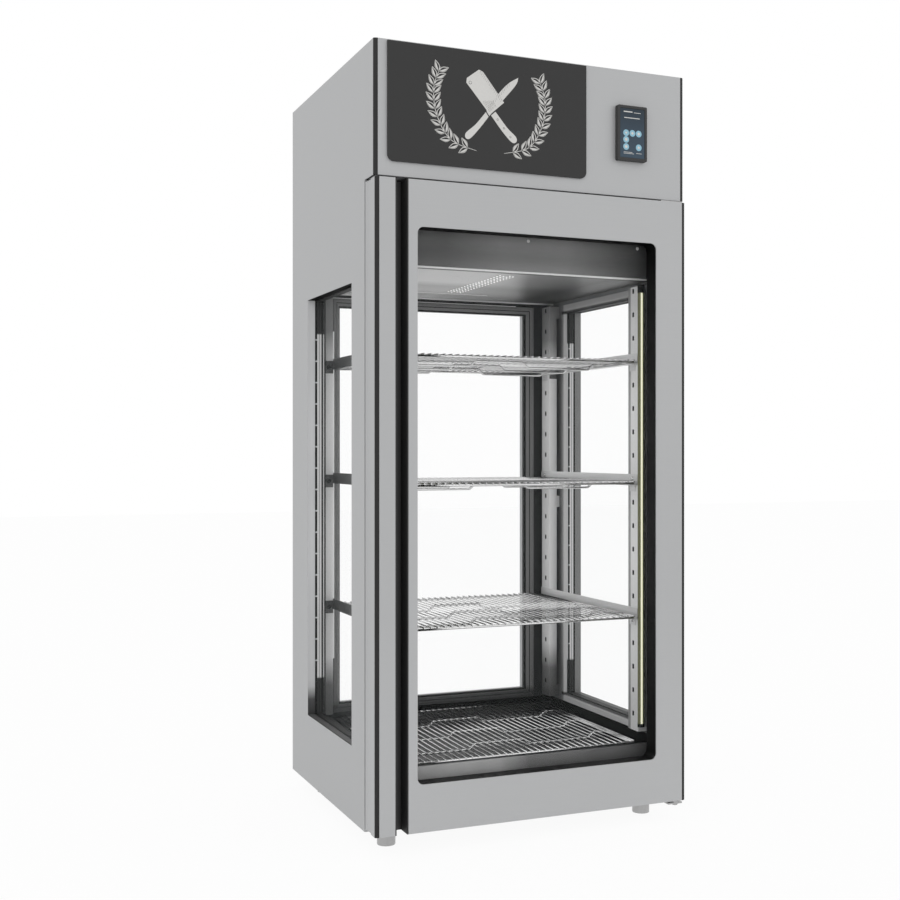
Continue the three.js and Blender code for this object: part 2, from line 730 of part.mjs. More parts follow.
// The angle that carries one side of a shelf at a height. A plate near each end of it hooks into
// the nearest slot of an upright.
function runner(side, height) {
  const face = side * runnerHalf;
  const inner = side * (runnerHalf - runnerSheet);
  const ledge = side * (runnerHalf - shelfSideGap - shelfBearing);
  const y0 = bodyFront + uprightFrontSetback;
  const y1 = backInner - uprightBackSetback;
  const span = (a, b) => [Math.min(a, b), Math.max(a, b)];
  const ledgeTop = -shelfDrop - fit;
  const ledgeBottom = ledgeTop - runnerSheet;
  const plateBottom = ledgeBottom - endPlateBelow;
  const hookBottom = nearestSlot(height + plateBottom + endPlateHeight / 2) + fit - height;
  const rise = block(...span(face, inner), y0, y1, ledgeBottom, ledgeBottom + runnerRise);
  const foot = block(...span(face, ledge), y0, y1, ledgeBottom, ledgeTop);
  const ends = [];
  for (const y of [y0 + uprightWidth / 2, y1 - uprightWidth / 2]) {
    ends.push(block(...span(face, inner), y - endPlateWidth / 2, y + endPlateWidth / 2,
      Math.min(plateBottom, hookBottom - runnerSheet),
      Math.max(plateBottom + endPlateHeight, hookBottom + hookHeight + runnerSheet)));
    ends.push(block(...span(inner, face + side * hookReach), y - hookThickness / 2, y + hookThickness / 2,
      hookBottom, hookBottom + hookHeight));
  }
  return join(rise, foot, ...ends);
}

function foot() {
  const points = [
    [0, 0], [footRadius - fit, 0], [footRadius, footCollar / 4], [footRadius, footHeight - footCollar],
    [footStemRadius, footHeight - footCollar / 2], [footStemRadius, footHeight - fit],
    [0, footHeight - fit],
  ].map(([r, z]) => new THREE.Vector2(r, z));
  const geometry = new THREE.LatheGeometry(points, footSides);
  geometry.rotateX(Math.PI / 2);
  return toSolid(geometry);
}

// A sealed compressor pot with its seam and its base plate.
function compressor() {
  const dome = compressorRadius * domeShare;
  const seam = compressorHeight * seamShare;
  const wide = compressorRadius + compressorSeamWidth;
  const points = [
    [0, 0], [dome, 0], [compressorRadius, dome - dome * domeShare], [compressorRadius, seam],
    [wide, seam], [wide, seam + compressorSeamHeight], [compressorRadius, seam + compressorSeamHeight],
    [compressorRadius, compressorHeight - compressorRadius / 2],
    [dome, compressorHeight - compressorRadius / 6], [0, compressorHeight],
  ].map(([r, z]) => new THREE.Vector2(r, z));
  const geometry = new THREE.LatheGeometry(points, roundSides);
  geometry.rotateX(Math.PI / 2);
  const plate = block(-compressorPlate / 2, compressorPlate / 2, -compressorPlate / 2,
    compressorPlate / 2, 0, compressorPlateThickness);
  return join(toSolid(geometry), plate);
}

// A finned coil block: fins that stand on a solid spine.
function finnedCoil(width, depth, height) {
  const spine = block(-width / 2, width / 2, -finSpine / 2, finSpine / 2, 0, height);
  const fins = [];
  for (let i = 0; i < finCount; i += 1) {
    const x = -width / 2 + finThickness / 2 + (i * (width - finThickness)) / (finCount - 1);
    fins.push(block(x - finThickness / 2, x + finThickness / 2, -depth / 2, depth / 2, 0, height));
  }
  return join(spine, ...fins);
}

// An axial fan about z, bored for its shaft, with pitched blades.
function fan(radius) {
  const hub = cut(bar(fanHubRadius, 0, fanHubLength),
    bar(fanShaftRadius + fit, -cutOverrun, shaftReach + fit, footSides));
  const blades = [];
  for (let i = 0; i < fanBladeCount; i += 1) {
    const length = radius - fanHubRadius + fanBladeRoot;
    const geometry = new THREE.BoxGeometry(length, fanBladeChord, fanBladeThickness);
    geometry.rotateX(fanBladePitch);
    geometry.translate(fanHubRadius - fanBladeRoot + length / 2, 0, fanHubLength / 2);
    geometry.rotateZ((i * 2 * Math.PI) / fanBladeCount);
    blades.push(toSolid(geometry));
  }
  return join(hub, ...blades);
}

// The shroud round the condenser fan, with the motor on arms behind it, drawn about the fan's axis.
function condenserShroud() {
  const half = shroudWidth / 2;
  const hole = condenserFanRadius + fanTipClearance;
  const ring = cut(block(-half, half, 0, shroudDepth, -half, half),
    bar(hole, -shroudDepth - cutOverrun, cutOverrun).rotate([90, 0, 0]));
  const motorFront = shroudDepth + fanTipClearance;
  const motor = bar(motorRadius, -motorFront - motorLength, -motorFront, footSides).rotate([90, 0, 0]);
  const hubFront = (shroudDepth - fanHubLength) / 2;
  const shaft = bar(fanShaftRadius, -motorFront - fit, -hubFront - fanHubLength + shaftReach, footSides / 2)
    .rotate([90, 0, 0]);
  const acrossArm = block(-half, half, shroudDepth, motorFront + motorArm, -motorArm / 2, motorArm / 2);
  const uprightArm = block(-motorArm / 2, motorArm / 2, shroudDepth, motorFront + motorArm, -half, half);
  return join(ring, acrossArm, uprightArm, motor, shaft);
}

// An open-backed box that holds the controller, drawn from its front left foot.
function controlBox() {
  const outer = block(0, controlBoxWidth, 0, controlBoxDepth, 0, controlBoxHeight);
  const hollow = block(controlBoxWall, controlBoxWidth - controlBoxWall, controlBoxWall,
    controlBoxDepth + cutOverrun, controlBoxWall, controlBoxHeight - controlBoxWall);
  return cut(outer, hollow);
}

// The mains inlet: a socket body through the back skin, with a lip outside.
function mainsInlet() {
  const z = headerBottom + inletAbove;
  const skinFace = bodyBack + fit;
  const body = block(inletX - inletWidth / 2 + inletLip, inletX + inletWidth / 2 - inletLip,
    skinFace - inletDepth, skinFace, z + inletLip, z + inletHeight - inletLip);
  const lip = block(inletX - inletWidth / 2, inletX + inletWidth / 2, skinFace, skinFace + inletLip,
    z, z + inletHeight);
  const well = block(inletX - inletWidth / 2 + 2 * inletLip, inletX + inletWidth / 2 - 2 * inletLip,
    skinFace + inletLip - inletPinWell, skinFace + inletLip + cutOverrun,
    z + 2 * inletLip, z + inletHeight - 2 * inletLip);
  return cut(join(body, lip), well);
}

// The motor of one evaporator fan, hung from the ceiling, drawn down from its top.
function evaporatorMotor() {
  const body = bar(motorRadius, -evaporatorMotorLength, -fit, footSides);
  const shaft = bar(fanShaftRadius, -evaporatorMotorLength - shaftReach, -evaporatorMotorLength + fit,
    footSides / 2);
  return join(body, shaft);
}

for (const [side, hand] of [[-1, 'left'], [1, 'right']]) {
  place(`${hand}_side_wall`, toGeometry(sideWall(side)), steelLook);
  place(`${hand}_window_glass`, toGeometry(sideGlass(side)), glassLook);
  place(`${hand}_window_frame`, toGeometry(sideWindowFrame(side)), darkLook);
  place(`header_edge_${hand}`, toGeometry(edgeStrip(side, 0, 0, headerBottom, cabinetHeight)), darkLook);
  place(`door_edge_${hand}`,
    toGeometry(edgeStrip(side, doorSideInset, doorFront, doorBottom, doorTop)), darkLook);
}
place('back_wall', toGeometry(backWall()), steelLook);
place('back_window_glass', toGeometry(backGlass()), glassLook);
place('back_window_frame', toGeometry(backWindowFrame()), darkLook);
place('base_pan', toGeometry(basePan()), linerLook);
place('chamber_ceiling', toGeometry(chamberCeiling()), linerLook);
place('front_header_beam', toGeometry(headerBeam()), linerLook);
place('duct_panel', toGeometry(ductPanel()), linerLook);
place('top_cover', toGeometry(topCover()), steelLook);
place('header_fascia', toGeometry(headerFascia()), steelLook);
place('graphic_panel', toGeometry(graphicPanel()), graphicLook);
place('display_housing', toGeometry(displayHousing()), blackPaintLook);
place('display_screen', toGeometry(displayScreen()), screenLook);

place('door_shell', toGeometry(doorShell()), steelLook);
place('door_grip_lining', toGeometry(gripLining()), blackPaintLook);
place('door_window_frame', toGeometry(doorWindowFrame()), blackPaintLook);
place('door_glass', toGeometry(doorGlass()), glassLook);
place('door_gasket', toGeometry(doorGasket()), gasketLook);
place('top_hinge', toGeometry(topHinge()), footLook);
place('bottom_hinge', toGeometry(bottomHinge()), footLook);

const uprightGeometry = toGeometry(upright());
const lampGeometry = toGeometry(lampBar());
const footGeometry = toGeometry(foot());
for (const [side, hand] of [[-1, 'left'], [1, 'right']]) {
  const turn = side > 0 ? Math.PI : 0;
  const wallX = side * (innerHalf - fit);
  const frontY = bodyFront + uprightFrontSetback + uprightWidth / 2;
  const backY = backInner - uprightBackSetback - uprightWidth / 2;
  for (const [where, y] of [['front', frontY], ['back', backY]]) {
    const post = place(`${where}_${hand}_upright`, uprightGeometry, linerLook, wallX, y, uprightBottom);
    post.rotation.z = turn;
  }
  const lamp = place(`${hand}_lamp_bar`, lampGeometry, lampLook, wallX,
    bodyFront + lampSetback + (side > 0 ? lampSize : 0), lampBottom);
  lamp.rotation.z = turn;
  const footX = side * (halfWidth - footFromSide);
  place(`front_${hand}_foot`, footGeometry, footLook, footX, footFromFront);
  place(`back_${hand}_foot`, footGeometry, footLook, footX, cabinetDepth - footFromBack);
  shelfHeights.forEach((z, i) => {
    place(`shelf_${i + 2}_runner_${hand}`, toGeometry(runner(side, z)), chromeLook, 0, 0, z);
  });
}

const shelfGeometry = toGeometry(shelf());
[floorShelfHeight, ...shelfHeights].forEach((z, i) => {
  place(`shelf_${i + 1}`, shelfGeometry, chromeLook, 0, shelfMiddleY, z);
});

place('compressor', toGeometry(compressor()), blackPaintLook, compressorX, compressorY, deck);
place('condenser', toGeometry(finnedCoil(condenserWidth, condenserDepth, condenserHeight)), finLook,
  condenserX, condenserFront + condenserDepth / 2, deck);
const shroudFront = condenserFront + condenserDepth + fit;
const fanAxisZ = deck + shroudWidth / 2;
place('condenser_fan_shroud', toGeometry(condenserShroud()), blackPaintLook,
  condenserX, shroudFront, fanAxisZ);
const condenserFan = place('condenser_fan', toGeometry(fan(condenserFanRadius)), blackPaintLook,
  condenserX, shroudFront + (shroudDepth - fanHubLength) / 2 + fanHubLength, fanAxisZ);
condenserFan.rotation.x = Math.PI / 2;

place('control_box', toGeometry(controlBox()), linerLook, controlBoxX, controlBoxFront, deck);
place('mains_inlet', toGeometry(mainsInlet()), blackPaintLook);

place('evaporator', toGeometry(finnedCoil(evaporatorWidth, evaporatorDepth, evaporatorHeight)), finLook,
  0, evaporatorFront + evaporatorDepth / 2, ceilingBottom - evaporatorHeight - fit);
const evaporatorMotorGeometry = toGeometry(evaporatorMotor());
const evaporatorFanGeometry = toGeometry(fan(evaporatorFanRadius));
for (const [side, hand] of [[-1, 'left'], [1, 'right']]) {
  place(`evaporator_motor_${hand}`, evaporatorMotorGeometry, blackPaintLook,
    side * evaporatorFanX, evaporatorFanY, ceilingBottom);
  const blades = place(`evaporator_fan_${hand}`, evaporatorFanGeometry, darkLook,
    side * evaporatorFanX, evaporatorFanY, ceilingBottom - evaporatorMotorLength - fanTipClearance / 2);
  blades.rotation.x = Math.PI;
}

export default cabinet;
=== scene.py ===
"""Looks of a dry aging cabinet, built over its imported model.

Lengths are metres in the part's own frame: +Z up, the door towards -Y, the hinges at +X.
"""

from __future__ import annotations

import json
import logging
import math
from dataclasses import dataclass
from enum import Enum
from typing import Any, Callable, ClassVar, Sequence

import bmesh
import bpy
from mathutils import Matrix, Vector

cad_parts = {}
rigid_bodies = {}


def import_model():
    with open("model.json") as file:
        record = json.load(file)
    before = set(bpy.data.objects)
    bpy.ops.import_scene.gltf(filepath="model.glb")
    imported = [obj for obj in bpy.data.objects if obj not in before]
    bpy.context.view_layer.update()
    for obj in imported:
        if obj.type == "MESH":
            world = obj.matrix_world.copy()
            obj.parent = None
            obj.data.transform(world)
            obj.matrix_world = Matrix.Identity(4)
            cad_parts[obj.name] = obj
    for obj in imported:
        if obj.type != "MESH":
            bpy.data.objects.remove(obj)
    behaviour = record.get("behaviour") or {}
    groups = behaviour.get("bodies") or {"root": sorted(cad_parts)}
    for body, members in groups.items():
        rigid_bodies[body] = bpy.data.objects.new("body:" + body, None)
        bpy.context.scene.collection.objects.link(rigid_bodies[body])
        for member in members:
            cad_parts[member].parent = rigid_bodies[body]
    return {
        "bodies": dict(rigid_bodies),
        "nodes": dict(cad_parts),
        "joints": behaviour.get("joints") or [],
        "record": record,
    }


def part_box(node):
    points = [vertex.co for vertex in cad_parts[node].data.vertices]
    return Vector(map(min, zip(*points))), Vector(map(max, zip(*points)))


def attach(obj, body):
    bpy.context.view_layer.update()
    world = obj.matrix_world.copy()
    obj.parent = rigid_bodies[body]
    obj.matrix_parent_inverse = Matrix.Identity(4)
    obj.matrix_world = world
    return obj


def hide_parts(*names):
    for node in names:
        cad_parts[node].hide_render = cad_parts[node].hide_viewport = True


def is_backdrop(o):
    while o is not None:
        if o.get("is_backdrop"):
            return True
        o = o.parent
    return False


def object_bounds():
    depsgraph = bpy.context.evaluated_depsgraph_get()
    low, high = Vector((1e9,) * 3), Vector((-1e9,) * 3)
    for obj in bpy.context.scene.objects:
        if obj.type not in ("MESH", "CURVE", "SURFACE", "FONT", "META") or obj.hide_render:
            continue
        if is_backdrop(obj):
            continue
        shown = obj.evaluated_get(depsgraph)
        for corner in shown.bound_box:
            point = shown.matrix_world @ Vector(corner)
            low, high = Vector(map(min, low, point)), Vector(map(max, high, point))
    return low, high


MM = 0.001
LOG = logging.getLogger("cabinet")
Color = tuple[float, float, float]
Point = tuple[float, float, float]
Flat = tuple[float, float]
Outline = Sequence[Sequence[float]]
Socket = bpy.types.NodeSocket
Drawn = tuple[Outline, bool]
Ring = tuple[float, float, float, int]
Hatch = tuple[Outline, Outline, int]
RUNNER_LEVELS = (2, 3, 4)


def rgb(level: float, green: float | None = None, blue: float | None = None) -> Color:
    """Turns screen colour levels from 0 to 255 into a linear colour.

    Args:
        level: The red level, and the other two where they aren't given.
        green: The green level.
        blue: The blue level.

    Returns:
        The linear red, green and blue.
    """
    levels = (level, level if green is None else green, level if blue is None else blue)
    return tuple((value / 255) ** 2.2 for value in levels)


def circle(
    sides: int, radius: float = 1.0, middle: Sequence[float] = (0.0, 0.0), shift: float = 0.0
) -> list[Flat]:
    """Gives points round a circle.

    Args:
        sides: How many points there are.
        radius: The circle's radius.
        middle: Its middle.
        shift: How far the first point is turned, in steps.

    Returns:
        The points, in order.
    """
    turns = [2 * math.pi * (step + shift) / sides for step in range(sides)]
    return [(middle[0] + radius * math.cos(t), middle[1] + radius * math.sin(t)) for t in turns]


def span_of(first: Sequence[float], second: Sequence[float]) -> tuple[list[float], list[float]]:
    """Sorts two opposite corners into the low one and the high one."""
    pairs = list(zip(first, second))
    return [min(pair) for pair in pairs], [max(pair) for pair in pairs]


class Value:
    """A number socket in a shader tree. Arithmetic on it adds Math nodes."""

    def __init__(self, shader: Shader, socket: Socket) -> None:
        """Wraps a socket of the given shader."""
        self.shader = shader
        self.socket = socket

    def _with(self, operation: str, first: Any, second: Any) -> Value:
        """Adds one Math node and wraps its result."""
        made = self.shader.node("ShaderNodeMath", {"operation": operation}, {0: first, 1: second})
        return Value(self.shader, made.outputs[0])

    def __add__(self, other: Any) -> Value:
        """Adds a value or a number."""
        return self._with("ADD", self, other)

    __radd__ = __add__

    def __sub__(self, other: Any) -> Value:
        """Takes a value or a number away."""
        return self._with("SUBTRACT", self, other)

    def __rsub__(self, other: Any) -> Value:
        """Takes this value away from a number."""
        return self._with("SUBTRACT", other, self)

    def __mul__(self, other: Any) -> Value:
        """Multiplies by a value or a number."""
        return self._with("MULTIPLY", self, other)

    __rmul__ = __mul__

    def __pow__(self, other: float) -> Value:
        """Raises the value to a power."""
        return self._with("POWER", self, other)

    def at_most(self, other: Any) -> Value:
        """Gives the smaller of this value and another."""
        return self._with("MINIMUM", self, other)

    def at_least(self, other: Any) -> Value:
        """Gives the larger of this value and another."""
        return self._with("MAXIMUM", self, other)


class Grain(Enum):
    """Which way the marks of a surface run, as stretches of the noise along x, y and z."""

    EVEN = (1.0, 1.0, 1.0)
    UPRIGHT = (1.0, 1.0, 0.015)
    LEVEL = (0.015, 0.015, 1.0)
    DEEP = (1.0, 0.015, 1.0)


class Shader:
    """Builds the node tree of one material or of the world."""

    def __init__(self, owner: bpy.types.Material | bpy.types.World) -> None:
        """Starts with an empty tree.

        Args:
            owner: The material or the world.
        """
        owner.use_nodes = True
        self.owner = owner
        self.tree = owner.node_tree
        self.tree.nodes.clear()

    def node(
        self,
        kind: str,
        settings: dict[str, Any] | None = None,
        inputs: dict[int | str, Any] | None = None,
    ) -> bpy.types.Node:
        """Adds a node.

        Args:
            kind: Blender's type name of the node.
            settings: Properties to set first. "stops" fills a colour ramp.
            inputs: Values, sockets or wrapped values for its sockets.

        Returns:
            The new node.
        """
        made = self.tree.nodes.new(kind)
        for key, value in (settings or {}).items():
            if key == "stops":
                for index, (place, color) in enumerate(value):
                    points = made.color_ramp.elements
                    point = points[index] if index < 2 else points.new(place)
                    point.position = place
                    point.color = (*color, 1.0)
            else:
                setattr(made, key, value)
        for key, value in (inputs or {}).items():
            source = getattr(value, "socket", value)
            if isinstance(source, Socket):
                self.tree.links.new(source, made.inputs[key])
            else:
                made.inputs[key].default_value = source
        return made

    def noise(self, cells: float, grain: Grain = Grain.EVEN, detail: float = 2.0) -> Value:
        """Adds noise in the object's own coordinates.

        Args:
            cells: Noise cells per metre across the grain.
            grain: Which way the noise is drawn out.
            detail: How many finer layers it has.

        Returns:
            The noise, around one half.
        """
        where = self.node("ShaderNodeTexCoord").outputs["Object"]
        scale = tuple(cells * stretch for stretch in grain.value)
        mapped = self.node("ShaderNodeMapping", inputs={"Vector": where, "Scale": scale})
        inputs = {"Vector": mapped.outputs[0], "Scale": 1.0, "Detail": detail}
        return Value(self, self.node("ShaderNodeTexNoise", inputs=inputs).outputs["Fac"])

    def blend(self, factor: Value, first: Color, second: Color) -> Socket:
        """Mixes two colours by a value."""
        inputs = {0: factor, 6: (*first, 1.0), 7: (*second, 1.0)}
        return self.node("ShaderNodeMix", {"data_type": "RGBA"}, inputs).outputs[2]

    def tone(self, fade: Fade) -> Socket:
        """Adds a grey tone that changes along an axis of the object.

        Args:
            fade: The axis, the two ends and the tones between them.

        Returns:
            The tone's socket.
        """
        where = self.node("ShaderNodeTexCoord").outputs["Object"]
        place = self.node("ShaderNodeSeparateXYZ", inputs={0: where}).outputs[fade.axis]
        share = (Value(self, place) - fade.start) * (1 / (fade.stop - fade.start))
        stops = [(spot, (tone, tone, tone)) for spot, tone in fade.tones]
        return self.node("ShaderNodeValToRGB", {"stops": stops}, {0: share}).outputs[0]

    def tinted(self, base: Socket, tone: Socket) -> Socket:
        """Multiplies a colour by a tone."""
        settings = {"data_type": "RGBA", "blend_type": "MULTIPLY"}
        return self.node("ShaderNodeMix", settings, {0: 1.0, 6: base, 7: tone}).outputs[2]

    def bump(self, height: Value, depth: float) -> Socket:
        """Adds a bump of the given depth in metres."""
        return self.node("ShaderNodeBump", inputs={"Height": height, "Distance": depth}).outputs[0]

    def output(self, surface: Socket) -> bpy.types.Material:
        """Links the surface to the output and gives the material."""
        self.node("ShaderNodeOutputMaterial", inputs={"Surface": surface})
        return self.owner


@dataclass(frozen=True)
class Fade:
    """A slow change of tone along one axis of the object. Most fades here are painted light and
    shade.

    Attributes:
        axis: 0, 1 or 2 for x, y or z.
        start: Where it starts, in metres.
        stop: Where it ends.
        tones: Places from 0 to 1 along the way, each with a tone from 0 to 1.
    """

    axis: int
    start: float
    stop: float
    tones: tuple[tuple[float, float], ...]


@dataclass(frozen=True)
class Finish:
    """A solid surface with grain, cloudy tone and fine relief.

    Attributes:
        name: The material's name.
        color: The linear base colour.
        roughness: The middle roughness.
        metallic: How metallic it is.
        grain: Which way its marks run.
        cells: Marks per metre across the grain.
        tone: How far marks lighten and darken the colour.
        cloud: How far broad patches lighten and darken the colour.
        rough_spread: How far marks change the roughness.
        relief: The height of the marks in metres.
        coat: The weight of a clear coat.
        glow: The emission strength.
        specular: The level of its plain reflection.
        fades: Slow changes of tone, mostly painted light and shade.
        patch_cells: Broad patches per metre.
        patch_detail: How many finer layers the patches have.
        least_rough: The least roughness that marks leave.
    """

    name: str
    color: Color
    roughness: float
    metallic: float = 0.0
    grain: Grain = Grain.EVEN
    cells: float = 400.0
    tone: float = 0.03
    cloud: float = 0.03
    rough_spread: float = 0.1
    relief: float = 0.000004
    coat: float = 0.0
    glow: float = 0.0
    specular: float = 0.5
    fades: tuple[Fade, ...] = ()
    patch_cells: ClassVar[float] = 5.0
    patch_detail: ClassVar[float] = 3.0
    least_rough: ClassVar[float] = 0.02

    def material(self) -> bpy.types.Material:
        """Builds the material.

        Returns:
            The new material.
        """
        shader = Shader(bpy.data.materials.new(self.name))
        marks = shader.noise(self.cells, self.grain)
        patches = shader.noise(self.patch_cells, Grain.EVEN, self.patch_detail)
        spread = self.tone + self.cloud
        weight = (marks * self.tone + patches * self.cloud) * (1 / spread)
        dark = tuple(channel * (1 - 2 * spread) for channel in self.color)
        light = tuple(min(1.0, channel * (1 + 2 * spread)) for channel in self.color)
        base = shader.blend(weight, dark, light)
        for fade in self.fades:
            base = shader.tinted(base, shader.tone(fade))
        rough = (marks + patches - 1.0) * self.rough_spread + self.roughness
        inputs = {
            "Base Color": base,
            "Roughness": rough.at_least(self.least_rough),
            "Metallic": self.metallic,
            "Coat Weight": self.coat,
            "Specular IOR Level": self.specular,
            "Normal": shader.bump(marks, self.relief),
        }
        if self.glow:
            inputs["Emission Color"] = base
            inputs["Emission Strength"] = self.glow
        return shader.output(shader.node("ShaderNodeBsdfPrincipled", inputs=inputs).outputs[0])


@dataclass(frozen=True)
class ClearPane:
    """Clear glass that shows a little more of itself where it is seen at a slant.

    Attributes:
        name: The material's name.
        color: The linear tint.
        body: How much of the pane shows face on.
        slant: How much more of it shows at the steepest slant.
        smear_cells: Smears per metre.
        smear_detail: How many finer layers the smears have.
        shaded: The tint where a smear is thickest, as a share of the plain one.
        roughness: The least roughness.
        rough_spread: How far smears raise it.
        steepness: How late the pane starts to show at a slant.
        floor_share: The share of the body that shows between smears.
    """

    name: str
    color: Color
    body: float
    slant: float
    smear_cells: float = 9.0
    smear_detail: float = 4.0
    shaded: float = 0.97
    roughness: float = 0.01
    rough_spread: float = 0.04
    steepness: float = 3.0
    floor_share: float = 0.75

    def material(self) -> bpy.types.Material:
        """Builds the material.

        Returns:
            The new material.
        """
        shader = Shader(bpy.data.materials.new(self.name))
        weight = shader.node("ShaderNodeLayerWeight", inputs={"Blend": 0.5})
        facing = Value(shader, weight.outputs["Facing"])
        smear = shader.noise(self.smear_cells, Grain.EVEN, self.smear_detail)
        least = self.body * self.floor_share
        alpha = facing ** self.steepness * self.slant + smear * (self.body / 2) + least
        dull = tuple(channel * self.shaded for channel in self.color)
        inputs = {
            "Base Color": shader.blend(smear, self.color, dull),
            "Roughness": smear * self.rough_spread + self.roughness,
            "Alpha": alpha.at_most(1.0),
        }
        return shader.output(shader.node("ShaderNodeBsdfPrincipled", inputs=inputs).outputs[0])


class Painted(Enum):
    """Named finishes, each built once."""

    def material(self) -> bpy.types.Material:
        """Gives this finish's material, built on first use."""
        found = bpy.data.materials.get(self.value.name)
        return found or self.value.material()


# In each finish of the next two lists, the numbers after the colour are roughness and metallic,
# and those after the grain are cells, tone, cloud and rough_spread.
SATIN = (0.5, 0.3, Grain.LEVEL, 900, 0.015, 0.01, 0.06)
SATIN_COLOR = rgb(180, 181, 182)


class Slot(Painted):
    """The record's material slots, each with its finish."""

    STEEL = Finish("satin_steel", SATIN_COLOR, *SATIN)
    LINER = Finish(
        "bright_liner_steel", rgb(150, 152, 154), 0.3, 0.85, Grain.UPRIGHT, 900, 0.03, 0.05, 0.08
    )
    DARK_TRIM = Finish(
        "dark_anodised_trim", rgb(44), 0.5, 0.0, Grain.UPRIGHT, 900, 0.06, 0.05, 0.1, specular=0.25
    )
    GRAPHIC = Finish(
        "dark_printed_panel", rgb(60), 0.6, 0.0, Grain.EVEN, 1500, 0.03, 0.03, 0.06, specular=0.2
    )
    GLASS = ClearPane("clear_insulated_glass", rgb(232, 240, 240), 0.01, 0.04)
    CHROME_WIRE = Finish("plated_wire", rgb(214), 0.16, 1.0, Grain.EVEN, 300, 0.05, 0.04, 0.08)
    GASKET = Finish("grey_gasket_rubber", rgb(168), 0.7, 0.0, Grain.EVEN, 900, 0.05, 0.04, 0.08)
    LAMP = Finish(
        "pale_lamp_diffuser", rgb(250, 250, 216), 0.35, 0.0, Grain.EVEN, 600, 0.02, 0.02, 0.05,
        glow=0.5,
    )
    SCREEN = Finish(
        "display_glass", rgb(62, 78, 92), 0.2, 0.0, Grain.EVEN, 300, 0.03, 0.06, 0.04, specular=0.3,
        fades=(Fade(2, 1.501, 1.612, ((0.0, 1.0), (0.55, 0.8), (1.0, 0.45))),),
    )
    BLACK_PAINT = Finish(
        "black_satin_paint", rgb(24), 0.55, 0.0, Grain.EVEN, 700, 0.06, 0.05, 0.1, specular=0.12
    )
    FINS = Finish(
        "mill_aluminium", rgb(178, 180, 182), 0.42, 0.9, Grain.UPRIGHT, 900, 0.05, 0.05, 0.12
    )
    FOOT_STEEL = Finish("turned_steel", rgb(172), 0.3, 0.85, Grain.LEVEL, 1500, 0.05, 0.03, 0.1)


